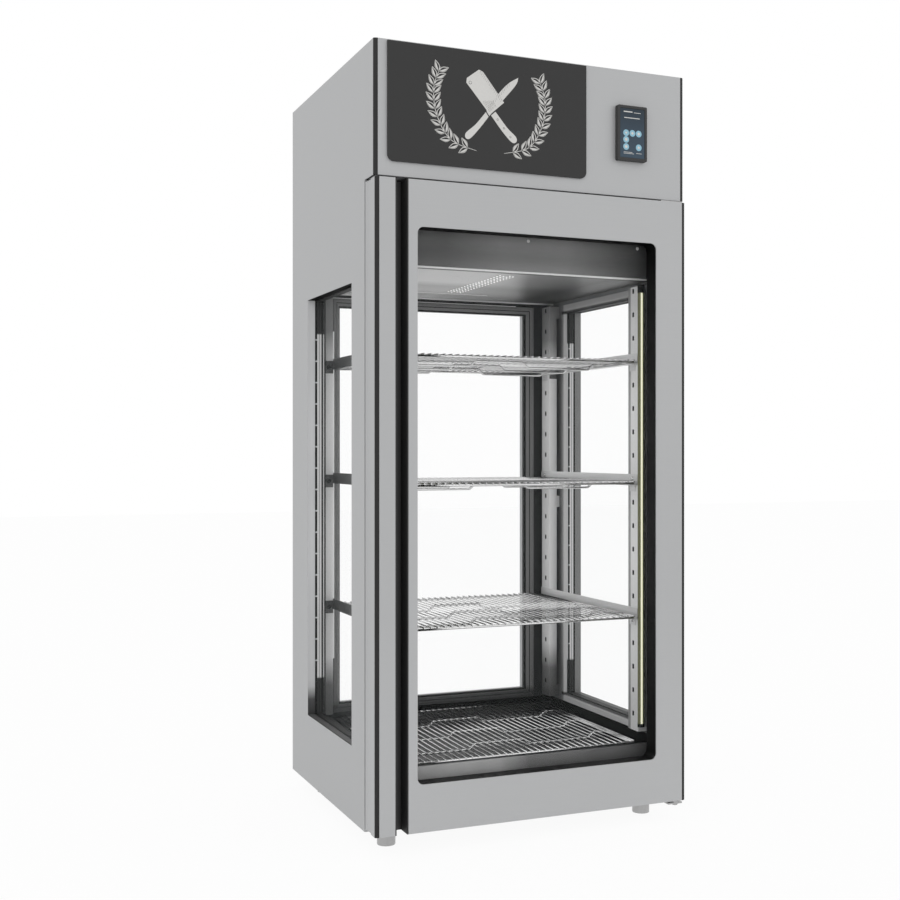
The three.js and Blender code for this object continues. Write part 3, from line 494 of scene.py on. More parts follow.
class Special(Painted):
    """Finishes of single pieces that differ from the rest of their slot, most of them with painted
    light and shade.
    """

    # Painted reflection and shade: darkened steel, with bands of tone along its height and darker
    # ends.
    BEAM = Finish(
        "shaded_beam_steel", rgb(141), 0.5, 0.2, Grain.LEVEL, 900, 0.03, 0.04, 0.08, specular=0.3,
        fades=(
            Fade(2, 1.240, 1.320, (
                (0.0, 0.85), (0.1, 0.8), (0.3, 0.66), (0.45, 0.66), (0.8, 1.0), (1.0, 1.0),
            )),
            Fade(0, -0.3, 0.32, (
                (0.0, 0.62), (0.17, 0.54), (0.4, 0.97), (0.65, 1.0), (0.86, 0.46), (1.0, 0.3),
            )),
        ),
    )
    # Painted shade: darker towards the right and in bands from front to back.
    CEILING = Finish(
        "ceiling_steel", rgb(212), 0.42, 0.5, Grain.DEEP, 700, 0.04, 0.06, 0.08,
        fades=(
            Fade(0, -0.3, 0.3, (
                (0.0, 1.0), (0.42, 1.0), (0.58, 0.62), (0.68, 0.5), (0.88, 0.12), (1.0, 0.22),
            )),
            Fade(1, -0.25, 0.25, (
                (0.0, 1.0), (0.4, 1.0), (0.55, 0.6), (0.7, 0.72), (0.87, 0.55), (1.0, 1.0),
            )),
        ),
    )
    # Painted shade: near black behind its front edge, and darker towards the right.
    FLOOR_PAN = Finish(
        "floor_pan_steel", rgb(206), 0.45, 0.3, Grain.LEVEL, 60, 0.02, 0.3, 0.08,
        fades=(
            Fade(1, -0.25, -0.24, ((0.0, 1.0), (1.0, 0.12))),
            Fade(0, -0.3, 0.3, ((0.0, 0.75), (0.4, 0.85), (0.52, 0.3), (1.0, 0.2))),
        ),
    )
    # Painted shade: the chamber faces darker than the outer skin.
    SIDE_WALL = Finish(
        "side_wall_steel", SATIN_COLOR, *SATIN,
        fades=(Fade(0, -0.336, 0.336, ((0.0, 1.0), (0.007, 0.45), (0.993, 0.45), (1.0, 1.0))),),
    )
    # Painted shade: the chamber face near black, the outer skin plain.
    BACK_WALL = Finish(
        "back_wall_steel", SATIN_COLOR, *SATIN,
        fades=(Fade(1, 0.285, 0.300, ((0.0, 0.06), (1.0, 1.0))),),
    )
    # Painted shade: darker along the bottom.
    FRAME_BACK = Finish(
        "grey_back_frame", rgb(128), 0.45, 0.2, Grain.UPRIGHT, 900, 0.05, 0.05, 0.1, specular=0.3,
        fades=(Fade(2, 0.197, 0.213, ((0.0, 0.22), (1.0, 1.0))),),
    )
    # Painted light and shade: the right side frame, a lit copy of the left one, with painted shade
    # towards the back and painted shadow lines near its top and bottom.
    FRAME_SIDE = Finish(
        "grey_side_frame", rgb(222), 0.45, 0.2, Grain.UPRIGHT, 900, 0.05, 0.05, 0.1, specular=0.3,
        fades=(
            Fade(1, 0.180, 0.2005, ((0.0, 1.0), (0.45, 1.0), (0.55, 0.45), (1.0, 0.45))),
            Fade(2, 0.196, 1.220, (
                (0.0, 1.0), (0.001, 0.1), (0.0078, 0.1), (0.0088, 1.0), (0.9863, 1.0),
                (0.9873, 0.08), (0.9932, 0.08), (0.9937, 0.75), (1.0, 0.75),
            )),
        ),
    )
    # Painted shade: the left side frame, a shaded copy of the lit right one.
    FRAME_DARK = Finish(
        "dark_side_frame", rgb(30), 0.5, 0.1, Grain.UPRIGHT, 900, 0.05, 0.05, 0.1, specular=0.2
    )
    FLANK_DARK = Finish(
        "shaded_flank_steel", rgb(128), 0.5, 0.2, Grain.UPRIGHT, 900, 0.03, 0.05, 0.08, specular=0.3
    )
    SILL = Finish("shaded_sill", rgb(98), 0.5, 0.2, Grain.EVEN, 300, 0.05, 0.08, 0.1, specular=0.2)
    # Painted light and shade: the left reveal's flanks, a lit copy of the shaded right ones, darker
    # towards the bottom.
    REVEAL_STEEL = Finish(
        "reveal_steel", rgb(214, 215, 216), 0.5, 0.3, Grain.UPRIGHT, 900, 0.015, 0.02, 0.06,
        fades=(Fade(2, 0.200, 0.290, ((0.0, 0.07), (0.45, 0.14), (0.8, 0.92), (1.0, 1.0))),),
    )
    # Painted highlight: near white with a faint glow, though it is no lamp.
    EDGE_STEEL = Finish(
        "bright_edge_steel", rgb(250), 0.35, 0.1, Grain.UPRIGHT, 900, 0.02, 0.03, 0.05, glow=0.1
    )
    # Painted shade: the top and bottom runs darkened.
    SPACER = Finish(
        "pale_spacer", rgb(222), 0.5, 0.0, Grain.UPRIGHT, 900, 0.04, 0.04, 0.08, specular=0.1,
        fades=(Fade(2, 0.290, 1.130, ((0.0, 0.05), (0.005, 1.0), (0.996, 1.0), (1.0, 0.05))),),
    )
    # Painted light: lighter towards the bottom, making up for the shade near the floor.
    DOOR = Finish(
        "door_steel", rgb(187, 188, 189), *SATIN,
        fades=(Fade(2, 0.04, 0.5, ((0.0, 1.0), (1.0, 0.925))),),
    )
    # Painted light and shade: near white, with painted shade behind the front face, on the slots'
    # sides.
    UPRIGHT_FRONT = Finish(
        "front_upright_steel", rgb(240), 0.4, 0.2, Grain.UPRIGHT, 900, 0.03, 0.04, 0.08,
        fades=(Fade(1, -0.2036, -0.2006, ((0.0, 1.0), (1.0, 0.42))),),
    )
    # Painted light and shade: near white, darker at the foot and at the top.
    UPRIGHT_BACK = Finish(
        "back_upright_steel", rgb(246), 0.4, 0.15, Grain.UPRIGHT, 900, 0.03, 0.04, 0.08,
        fades=(Fade(2, 0.190, 1.140, (
            (0.0, 0.12), (0.08, 0.18), (0.15, 1.0), (0.915, 1.0), (1.0, 0.3),
        )),),
    )
    RUNNER = Finish("shaded_runner_steel", rgb(84), 0.4, 0.4, Grain.DEEP, 900, 0.04, 0.05, 0.08)
    RUNNER_LIT = Finish("lit_runner_steel", rgb(226), 0.35, 0.3, Grain.DEEP, 900, 0.04, 0.05, 0.08)
    BEZEL = Finish(
        "dark_grey_bezel", rgb(62), 0.5, 0.0, Grain.EVEN, 900, 0.05, 0.04, 0.08, specular=0.25
    )
    ICON = Finish("pale_blue_icon", rgb(140, 182, 200), 0.4, glow=0.1, specular=0.2)
    PRINT = Finish("pale_print", rgb(214, 213, 210), 0.6, specular=0.2)
    # Painted shade: the lamp tube's olive sides stand for the diffuser's dim edges beside its lit
    # strip.
    OLIVE = Finish("olive_lamp_side", rgb(112, 113, 84), 0.4, specular=0.3)
    # Painted light: near white with a strong glow, though the hole rims are no lamp.
    HOLE = Finish("bright_hole_rim", rgb(245), 0.4, glow=1.0)
    # Painted shade: near black sheets where there is only shade, in the reveals, behind the slots
    # and along the chamber's foot.
    REVEAL = Finish(
        "black_reveal", rgb(10), 0.7, 0.0, Grain.EVEN, 700, 0.06, 0.05, 0.1, specular=0.05
    )
    # Painted highlight: light steel on the lips and the beam's screw heads.
    LIP = Finish("bright_folded_lip", rgb(222), 0.3, 0.3, Grain.LEVEL, 900, 0.03, 0.06, 0.06)
    # Dark plastic with painted light and shade: a lit band across the grip groove between shaded
    # parts.
    GROOVE = Finish(
        "dark_groove_lining", rgb(92), 0.5, 0.0, Grain.UPRIGHT, 900, 0.06, 0.05, 0.1, specular=0.25,
        fades=(Fade(0, -0.3275, -0.3045, (
            (0.0, 0.4), (0.4, 0.35), (0.55, 1.0), (0.8, 0.6), (1.0, 0.3),
        )),),
    )


class Side(Enum):
    """The two sides of the cabinet, as the sign of x."""

    LEFT = -1
    RIGHT = 1

    @property
    def hand(self) -> str:
        """Gives the side's name as the solids' names have it."""
        return self.name.lower()


class Wall(Enum):
    """The walls that have a fixed window."""

    LEFT = "left"
    RIGHT = "right"
    BACK = "back"


class Shape:
    """Gathers closed forms into one mesh.

    Attributes:
        upright: Past this share of an upright way, a bar's rings are turned from y instead.
        lifts: The angles of a dome's rings over its foot, in radians.
        taper: The width of a stroke's ends, as a share of its greatest width.
    """

    upright: ClassVar[float] = 0.9
    lifts: ClassVar[tuple[float, ...]] = (0.0, 0.4, 0.8, 1.15)
    taper: ClassVar[float] = 0.35

    def __init__(self, name: str) -> None:
        """Starts an empty shape with the piece's name."""
        self.name = name
        self.mesh = bmesh.new()

    def box(self, low: Sequence[float], high: Sequence[float], bevel: float = 0.0) -> None:
        """Adds a box.

        Args:
            low: Its low corner.
            high: Its high corner.
            bevel: How much is taken off its edges.
        """
        size = Vector([top - bottom for bottom, top in zip(low, high)])
        middle = Vector([(top + bottom) / 2 for bottom, top in zip(low, high)])
        made = bmesh.ops.create_cube(self.mesh, size=1.0)["verts"]
        matrix = Matrix.LocRotScale(middle, None, size)
        bmesh.ops.transform(self.mesh, matrix=matrix, verts=made)
        if bevel:
            edges = list({edge for vert in made for edge in vert.link_edges})
            bmesh.ops.bevel(
                self.mesh, geom=edges, offset=bevel, segments=2, profile=0.5, affect="EDGES"
            )

    def skin(self, rings: Sequence[Outline], smooth: bool = False) -> None:
        """Adds a closed form through rings of points, with flat ends.

        Args:
            rings: The rings from one end to the other, all with as many points.
            smooth: Whether its sides are shaded smooth.
        """
        loops = [[self.mesh.verts.new(point) for point in ring] for ring in rings]
        self.mesh.faces.new(list(reversed(loops[0])))
        for first, second in zip(loops, loops[1:]):
            for step in range(len(first)):
                follow = (step + 1) % len(first)
                corners = (first[step], first[follow], second[follow], second[step])
                self.mesh.faces.new(corners).smooth = smooth
        self.mesh.faces.new(loops[-1])

    def tube(self, path: Sequence[Vector], radius: float, sides: int) -> None:
        """Adds a round bar along a path.

        Args:
            path: The points of its middle line.
            radius: Its radius.
            sides: How many sides it has.
        """
        start = (path[1] - path[0]).normalized()
        helper = Vector((0, 0, 1)) if abs(start.z) < self.upright else Vector((0, 1, 0))
        across = start.cross(helper).normalized()
        rings = []
        for before, point, after in zip([path[0], *path], path, [*path[1:], path[-1]]):
            along = (after - before).normalized()
            across = (across - along * across.dot(along)).normalized()
            up = along.cross(across)
            rings.append([point + (across * x + up * y) * radius for x, y in circle(sides)])
        self.skin(rings, smooth=True)

    def prism(self, outline: Outline, front: float, back: float) -> None:
        """Adds an outline in x and z, run from front to back along y."""
        self.skin([[(x, y, z) for x, z in outline] for y in (front, back)])

    def pillar(self, outline: Outline, bottom: float, top: float) -> None:
        """Adds an outline in x and y, raised from bottom to top."""
        self.skin([[(x, y, z) for x, y in outline] for z in (bottom, top)])

    def stroke(self, path: Outline, width: float, front: float, back: float) -> None:
        """Adds a flat line in x and z that tapers to its ends.

        Args:
            path: The line's points.
            width: Its greatest width.
            front: Where it starts along y.
            back: Where it stops.
        """
        points = [Vector(point) for point in path]
        left, right = [], []
        for index, point in enumerate(points):
            before = points[max(index - 1, 0)]
            after = points[min(index + 1, len(points) - 1)]
            along = (after - before).normalized()
            share = index / (len(points) - 1)
            swell = math.sin(math.pi * share) ** 0.5
            half = width / 2 * (self.taper + (1 - self.taper) * swell)
            side = Vector((-along.y, along.x)) * half
            left.append(point + side)
            right.append(point - side)
        self.prism([*right, *reversed(left)], front, back)

    def mitred(
        self,
        profile: Outline,
        low: Sequence[float],
        high: Sequence[float],
        place: Callable[[float, float, float], Vector],
        joint: float = 0.15 * MM,
    ) -> None:
        """Lays four bars of one profile round a rectangle, mitred at its corners.

        Args:
            profile: Points, each with its way out past the rectangle's edge and its depth.
            low: The rectangle's lower corner, across and up.
            high: Its upper corner.
            place: Turns across, up and depth into a point of the part.
            joint: How far a bar's end stops short of the mitre.
        """
        corners = ((0, 0), (1, 0), (1, 1), (0, 1))
        for start, stop in zip(corners, (*corners[1:], corners[0])):
            rings = []
            for corner, other in ((start, stop), (stop, start)):
                ring = []
                for out, deep in profile:
                    across = high[0] + out if corner[0] else low[0] - out
                    up = high[1] + out if corner[1] else low[1] - out
                    across += joint * (other[0] - corner[0])
                    up += joint * (other[1] - corner[1])
                    ring.append(place(across, up, deep))
                rings.append(ring)
            self.skin(rings)

    def dome(
        self, middle: Vector, out: Vector, radius: float, height: float, sides: int = 14
    ) -> None:
        """Adds a domed round head that stands on a face.

        Args:
            middle: The middle of its foot.
            out: The way that it points.
            radius: The radius of its foot.
            height: How far it stands out.
            sides: How many sides its foot has.
        """
        across = out.orthogonal().normalized()
        up = out.cross(across)
        rings = []
        for lift in self.lifts:
            ring = []
            for x, y in circle(sides):
                reach = (across * x + up * y) * radius * math.cos(lift)
                ring.append(middle + reach + out * height * math.sin(lift))
            rings.append(ring)
        self.skin(rings, smooth=True)

    def done(self, finish: Painted) -> bpy.types.Object:
        """Turns the shape into an object.

        Args:
            finish: The object's finish.

        Returns:
            The object, with its place in its mesh.
        """
        bmesh.ops.recalc_face_normals(self.mesh, faces=self.mesh.faces)
        data = bpy.data.meshes.new(self.name)
        self.mesh.to_mesh(data)
        self.mesh.free()
        data.materials.append(finish.material())
        piece = bpy.data.objects.new(self.name, data)
        bpy.context.scene.collection.objects.link(piece)
        return piece


def bent(points: Sequence[Vector], radius: float, steps: int = 4) -> list[Vector]:
    """Rounds the corners of a path.

    Args:
        points: The corners of the path, with its two ends.
        radius: How far from a corner its bend starts.
        steps: Steps round each corner.

    Returns:
        The path with its corners rounded.
    """
    path = [points[0]]
    for before, corner, after in zip(points, points[1:], points[2:]):
        start = corner + (before - corner).normalized() * radius
        end = corner + (after - corner).normalized() * radius
        for step in range(steps + 1):
            share = step / steps
            path.append(start.lerp(corner, share).lerp(corner.lerp(end, share), share))
    return [*path, points[-1]]


class Repeater:
    """A Geometry Nodes tree that sets copies of one shape at equal steps.

    Attributes:
        tree: The tree.
        count: The identifier of its input for how many there are.
        step: The identifier of its input for the way from one to the next.
        finish: The identifier of its input for the material.
    """

    def __init__(self) -> None:
        """Builds the tree once."""
        tree = bpy.data.node_groups.new("equal_steps", "GeometryNodeTree")
        face = tree.interface
        face.new_socket("Geometry", in_out="OUTPUT", socket_type="NodeSocketGeometry")
        face.new_socket("Geometry", in_out="INPUT", socket_type="NodeSocketGeometry")
        count = face.new_socket("Count", in_out="INPUT", socket_type="NodeSocketInt")
        step = face.new_socket("Step", in_out="INPUT", socket_type="NodeSocketVector")
        finish = face.new_socket("Finish", in_out="INPUT", socket_type="NodeSocketMaterial")
        self.count, self.step = count.identifier, step.identifier
        self.finish = finish.identifier
        source, line, copies, realize, paint, result = (
            tree.nodes.new(kind)
            for kind in (
                "NodeGroupInput", "GeometryNodeMeshLine", "GeometryNodeInstanceOnPoints",
                "GeometryNodeRealizeInstances", "GeometryNodeSetMaterial", "NodeGroupOutput",
            )
        )
        line.mode = "OFFSET"
        for start, output, end, entry in (
            (source, "Count", line, "Count"),
            (source, "Step", line, "Offset"),
            (line, "Mesh", copies, "Points"),
            (source, "Geometry", copies, "Instance"),
            (copies, 0, realize, 0),
            (realize, 0, paint, "Geometry"),
            (source, "Finish", paint, "Material"),
            (paint, 0, result, 0),
        ):
            tree.links.new(start.outputs[output], end.inputs[entry])
        self.tree = tree

    def spread(self, unit: Shape, finish: Painted, *runs: tuple[int, Point]) -> bpy.types.Object:
        """Repeats a shape along lines and makes the result a plain mesh.

        Args:
            unit: The shape, at its first place.
            finish: The finish of the result.
            runs: Each line's number of copies and the way from one copy to the next.

        Returns:
            The object with the repeated mesh.
        """
        piece = unit.done(finish)
        for count, step in runs:
            modifier = piece.modifiers.new("equal_steps", "NODES")
            modifier.node_group = self.tree
            modifier[self.count] = count
            modifier[self.step] = step
            modifier[self.finish] = finish.material()
            graph = bpy.context.evaluated_depsgraph_get()
            data = bpy.data.meshes.new_from_object(piece.evaluated_get(graph))
            piece.modifiers.clear()
            piece.data = data
        return piece


def merged(name: str, pieces: Sequence[bpy.types.Object]) -> bpy.types.Object:
    """Joins objects that share a material.

    Args:
        name: The name of the result.
        pieces: The objects. The first one takes up the others.

    Returns:
        The first object, renamed.
    """
    gathered = bmesh.new()
    for piece in pieces:
        gathered.from_mesh(piece.data)
    first, rest = pieces[0], pieces[1:]
    gathered.to_mesh(first.data)
    gathered.free()
    for piece in rest:
        bpy.data.objects.remove(piece)
    first.name = name
    return first


@dataclass(kw_only=True)
class Fitting:
    """A sub-assembly that rides on one body.

    Attributes:
        body: The body.
        bevel: How much is taken off the edges of its boxes.
    """

    body: str = "cabinet"
    bevel: float = 0.2 * MM

    def settle(self, piece: bpy.types.Object, slot: Slot, replaced: Sequence[str] = ()) -> None:
        """Ties a finished piece to the body.

        Args:
            piece: The piece.
            slot: The record's material slot that it belongs to. Not used.
            replaced: The solids that it stands for.
        """
        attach(piece, self.body)
        if replaced:
            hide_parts(*replaced)
        LOG.info("%s: %d faces", piece.name, len(piece.data.polygons))

    def add(
        self,
        shape: Shape,
        finish: Painted,
        slot: Slot | None = None,
        replaced: Sequence[str] = (),
    ) -> None:
        """Turns a shape into a piece and ties it to the body. Its finish can be its slot."""
        self.settle(shape.done(finish), slot or finish, replaced)


@dataclass
class Carcass:
    """The solids that keep their own shape, and their materials.

    Attributes:
    """

    frame: dict[str, Any]

    def dress(self) -> None:
        """Gives every solid the material of its slot, or its own special one."""
        special = {
            "front_header_beam": Special.BEAM,
            "duct_panel": Special.CEILING,
            "base_pan": Special.FLOOR_PAN,
            "left_side_wall": Special.SIDE_WALL,
            "right_side_wall": Special.SIDE_WALL,
            "back_wall": Special.BACK_WALL,
            "door_grip_lining": Special.GROOVE,
            "door_shell": Special.DOOR,
            "display_housing": Special.BEZEL,
        }
        for side in Side:
            hand = side.hand
            special[f"front_{hand}_upright"] = Special.UPRIGHT_FRONT
            special[f"back_{hand}_upright"] = Special.UPRIGHT_BACK
            runner = Special.RUNNER if side is Side.LEFT else Special.RUNNER_LIT
            special |= {f"shelf_{level}_runner_{hand}": runner for level in RUNNER_LEVELS}
        slots = {part["node"]: part["material_slot"] for part in self.frame["record"]["subparts"]}
        for node, piece in self.frame["nodes"].items():
            finish = special.get(node, Slot[slots[node].upper()]).material()
            for holder in piece.material_slots:
                holder.material = finish


@dataclass(kw_only=True)
class WireShelf(Fitting):
    """A plated wire shelf: wires from front to back on rods, three of them bent down.

    Attributes:
        node: The solid that it stands for.
        wire_radius: Half a wire's thickness.
        rod_radius: Half a rod's thickness.
        pitch: The step from wire to wire, rounded to fill the width.
        dip_from_edge: Where a rod's first dip starts.
        dip_length: The length of each of its two dips.
        dip_drop: How far it dips.
        dip_run: The length of the slope into a dip.
        bend: How far from a corner its bend starts.
        weld: How far a rod's middle lies under the wires, as a share of its radius.
        wire_sides: How many sides a wire has.
        rod_sides: How many sides a rod has.
    """

    node: str
    wire_radius: float = 1.7 * MM
    rod_radius: float = 2.8 * MM
    pitch: float = 16.4 * MM
    dip_from_edge: float = 39 * MM
    dip_length: float = 187 * MM
    dip_drop: float = 12 * MM
    dip_run: float = 13 * MM
    bend: float = 4 * MM
    weld: float = 0.85
    wire_sides: int = 8
    rod_sides: int = 10

    def _wires(self, repeater: Repeater) -> bpy.types.Object:
        """Makes the wires.

        Args:
            repeater: Sets copies at equal steps.

        Returns:
            The wires as one object.
        """
        low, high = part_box(self.node)
        gaps = round((high.x - low.x) / self.pitch)
        step = (high.x - low.x - 2 * self.wire_radius) / gaps
        x, z = low.x + self.wire_radius, high.z - self.wire_radius
        unit = Shape(f"wires_{self.node}")
        ends = [Vector((x, low.y, z)), Vector((x, high.y, z))]
        unit.tube(ends, self.wire_radius, self.wire_sides)
        return repeater.spread(unit, Slot.CHROME_WIRE, (gaps + 1, (step, 0, 0)))

    def _rod_path(self, y: float, z: float, dips: bool) -> list[Vector]:
        """Gives the path of one rod across the shelf.

        Args:
            y: Where the rod lies.
            z: Its height.
            dips: Whether it has dips.

        Returns:
            The path's points.
        """
        low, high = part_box(self.node)
        ends = [Vector((low.x, y, z)), Vector((high.x, y, z))]
        if not dips:
            return ends
        marks = []
        for start in (low.x + self.dip_from_edge, high.x - self.dip_from_edge - self.dip_length):
            stop = start + self.dip_length
            bottom, run = z - self.dip_drop, self.dip_run
            marks += [(start, z), (start + run, bottom), (stop - run, bottom), (stop, z)]
        corners = [ends[0], *(Vector((x, y, height)) for x, height in marks), ends[1]]
        return bent(corners, self.bend)

    def _rods(self) -> bpy.types.Object:
        """Makes the rods: straight ones at the edges, dipped ones between.

        Returns:
            The rods as one object.
        """
        low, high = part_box(self.node)
        rods = Shape(f"rods_{self.node}")
        z = high.z - 2 * self.wire_radius - self.rod_radius * self.weld
        depth = high.y - low.y
        edge = 2 * self.rod_radius
        places = [(low.y + edge, False), (high.y - edge, False)]
        places += [(low.y + depth * quarter / 4, True) for quarter in (1, 2, 3)]
        for y, dips in places:
            rods.tube(self._rod_path(y, z, dips), self.rod_radius, self.rod_sides)
        for x in (low.x + self.rod_radius, high.x - self.rod_radius):
            ends = [Vector((x, low.y + edge, z)), Vector((x, high.y - edge, z))]
            rods.tube(ends, self.rod_radius, self.rod_sides)
        return rods.done(Slot.CHROME_WIRE)

    def build(self, repeater: Repeater) -> None:
        """Makes the shelf in place of its solid.

        Args:
            repeater: Sets copies at equal steps.
        """
        whole = merged(f"wire_{self.node}", [self._wires(repeater), self._rods()])
        self.settle(whole, Slot.CHROME_WIRE, [self.node])


@dataclass(kw_only=True)
class LampBar(Fitting):
    """An upright lamp: an aluminium back, an olive tube with painted shade on its sides beside a
    pale lit strip, and black end caps.

    Attributes:
        side: Its side of the cabinet.
        top_cap: The height of the upper cap.
        bottom_cap: The height of the lower cap.
        back_thickness: The depth of the rail at its back, from the wall.
        half_width: Half the width of the oval tube.
        half_depth: Half its depth.
        sunk: How far its middle lies behind the solid's face to the chamber.
        proud: How far the strip and the caps stand out from the tube.
        strip_from: Where the strip starts, in degrees past straight to the front.
        strip_to: Where it ends, towards the chamber.
        strip_back: How far the strip's back lies outside the tube.
        last_turn: The angle of the tube's last point, in degrees.
        turn_steps: How many steps lead there from its first point.
        strip_steps: How many steps the strip has.
    """

    side: Side
    bevel: float = 0.1 * MM
    top_cap: float = 19 * MM
    bottom_cap: float = 8 * MM
    back_thickness: float = 14.6 * MM
    half_width: float = 8.4 * MM
    half_depth: float = 5.3 * MM
    sunk: float = 1.0 * MM
    proud: float = 0.4 * MM
    strip_from: float = 7.0
    strip_to: float = -25.0
    strip_back: float = 0.05 * MM
    last_turn: float = 345.0
    turn_steps: int = 23
    strip_steps: int = 8

    def _arc(
        self, middle: Vector, proud: float, start: float, stop: float, steps: int
    ) -> list[Vector]:
        """Gives points round the oval tube.

        Args:
            middle: The tube's middle.
            proud: How far they lie outside the tube.
            start: The first one's angle in degrees.
            stop: The last one's angle.
            steps: How many steps lie between them.

        Returns:
            The points in x and y.
        """
        turns = [math.radians(start + (stop - start) * step / steps) for step in range(steps + 1)]
        width, depth = self.half_width + proud, self.half_depth + proud
        return [middle + Vector((math.cos(turn) * width, math.sin(turn) * depth)) for turn in turns]

    def build(self) -> None:
        """Makes the lamp in place of its solid."""
        name = self.side.hand
        node = f"{name}_lamp_bar"
        low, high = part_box(node)
        inward = -self.side.value
        wall, face = (low.x, high.x) if inward > 0 else (high.x, low.x)
        middle = Vector((face - inward * self.sunk, (low.y + high.y) / 2))
        below, above = low.z + self.bottom_cap, high.z - self.top_cap
        holder = Shape(f"{name}_lamp_back")
        xs = sorted((wall, wall + inward * self.back_thickness))
        holder.box((xs[0], low.y, low.z), (xs[1], high.y, high.z), self.bevel)
        self.add(holder, Slot.FINS)
        # The tube's olive sides are painted shade beside the lit strip.
        tube = Shape(f"{name}_lamp_tube")
        whole = (0.0, self.last_turn, self.turn_steps)
        tube.pillar(self._arc(middle, 0.0, *whole), below, above)
        self.add(tube, Special.OLIVE, Slot.LAMP)
        caps = Shape(f"{name}_lamp_caps")
        for bottom, top in ((low.z, below), (above, high.z)):
            caps.pillar(self._arc(middle, self.proud, *whole), bottom, top)
        self.add(caps, Slot.BLACK_PAINT)
        start, stop = (-90.0 - inward * turn for turn in (self.strip_to, self.strip_from))
        span = (start, stop, self.strip_steps)
        outer = self._arc(middle, self.proud, *span)
        inner = self._arc(middle, self.strip_back, *span)
        strip = Shape(f"{name}_lamp_strip")
        strip.pillar([*outer, *reversed(inner)], below, above)
        self.add(strip, Slot.LAMP, replaced=[node])


@dataclass(kw_only=True)
class DisplayPanel(Fitting):
    """The touch display's screen: dark glass with round pale icons and plain bars on its face.

    Attributes:
        node: The solid that it stands for.
        recess: How far the glass lies behind the housing's face.
        icon_radius: The radius of an icon.
        relief: How far an icon stands out.
        columns: The icons' places across, as shares of the width.
        rows: Their places up, as shares of the height.
        bars: Plain bars, each with its start, end and height as shares, and its thickness.
        mark_sides: The sides of the plain figure on each icon.
        mark_size: The figure's radius, as a share of the icon's.
        mark_relief: How far it stands out, as a share of the icon's relief.
        icon_sides: How many sides an icon has.
        shift: How far icons and figures are turned, in steps from corner to corner.
    """

    bevel: float = 0.3 * MM
    node: str = "display_screen"
    recess: float = 0.6 * MM
    icon_radius: float = 7.4 * MM
    relief: float = 0.25 * MM
    columns: tuple[float, ...] = (0.24, 0.5, 0.76)
    rows: tuple[float, ...] = (0.5, 0.365, 0.22)
    bars: tuple[tuple[float, float, float, float], ...] = (
        (0.14, 0.5, 0.92, 2.4 * MM),
        (0.56, 0.84, 0.915, 1.2 * MM),
        (0.16, 0.8, 0.8, 1.8 * MM),
        (0.14, 0.5, 0.105, 1.0 * MM),
        (0.14, 0.56, 0.08, 1.0 * MM),
        (0.66, 0.88, 0.095, 1.0 * MM),
    )
    mark_sides: tuple[int, ...] = (3, 4, 5, 6, 8, 4)
    mark_size: float = 0.5
    mark_relief: float = 1.4
    icon_sides: int = 32
    shift: float = 0.25

    def build(self) -> None:
        """Makes the screen, its icons and its bars in place of the solid."""
        low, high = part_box(self.node)
        face = low.y + self.recess
        glass = Shape("display_glass_plate")
        glass.box((low.x, face, low.z), (high.x, high.y, high.z), self.bevel)
        self.add(glass, Slot.SCREEN, replaced=[self.node])
        size = Vector((high.x - low.x, 0, high.z - low.z))
        left, middle, right = self.columns
        top, second, bottom = self.rows
        places = (
            (left, top), (middle, top), (right, top),
            (left, second), (left, bottom), (right, bottom),
        )
        icons = Shape("display_icons")
        marks = Shape("display_icon_marks")
        front = face - self.relief
        for sides, (across, up) in zip(self.mark_sides, places):
            spot = (low.x + size.x * across, low.z + size.z * up)
            icons.prism(circle(self.icon_sides, self.icon_radius, spot, self.shift), front, face)
            figure = circle(sides, self.icon_radius * self.mark_size, spot, self.shift)
            marks.prism(figure, face - self.relief * self.mark_relief, front)
        for start, end, up, thickness in self.bars:
            z = low.z + size.z * up
            x0, x1 = low.x + size.x * start, low.x + size.x * end
            marks.box((x0, front, z), (x1, face, z + thickness))
        self.add(icons, Special.ICON, Slot.SCREEN)
        self.add(marks, Special.PRINT, Slot.SCREEN)


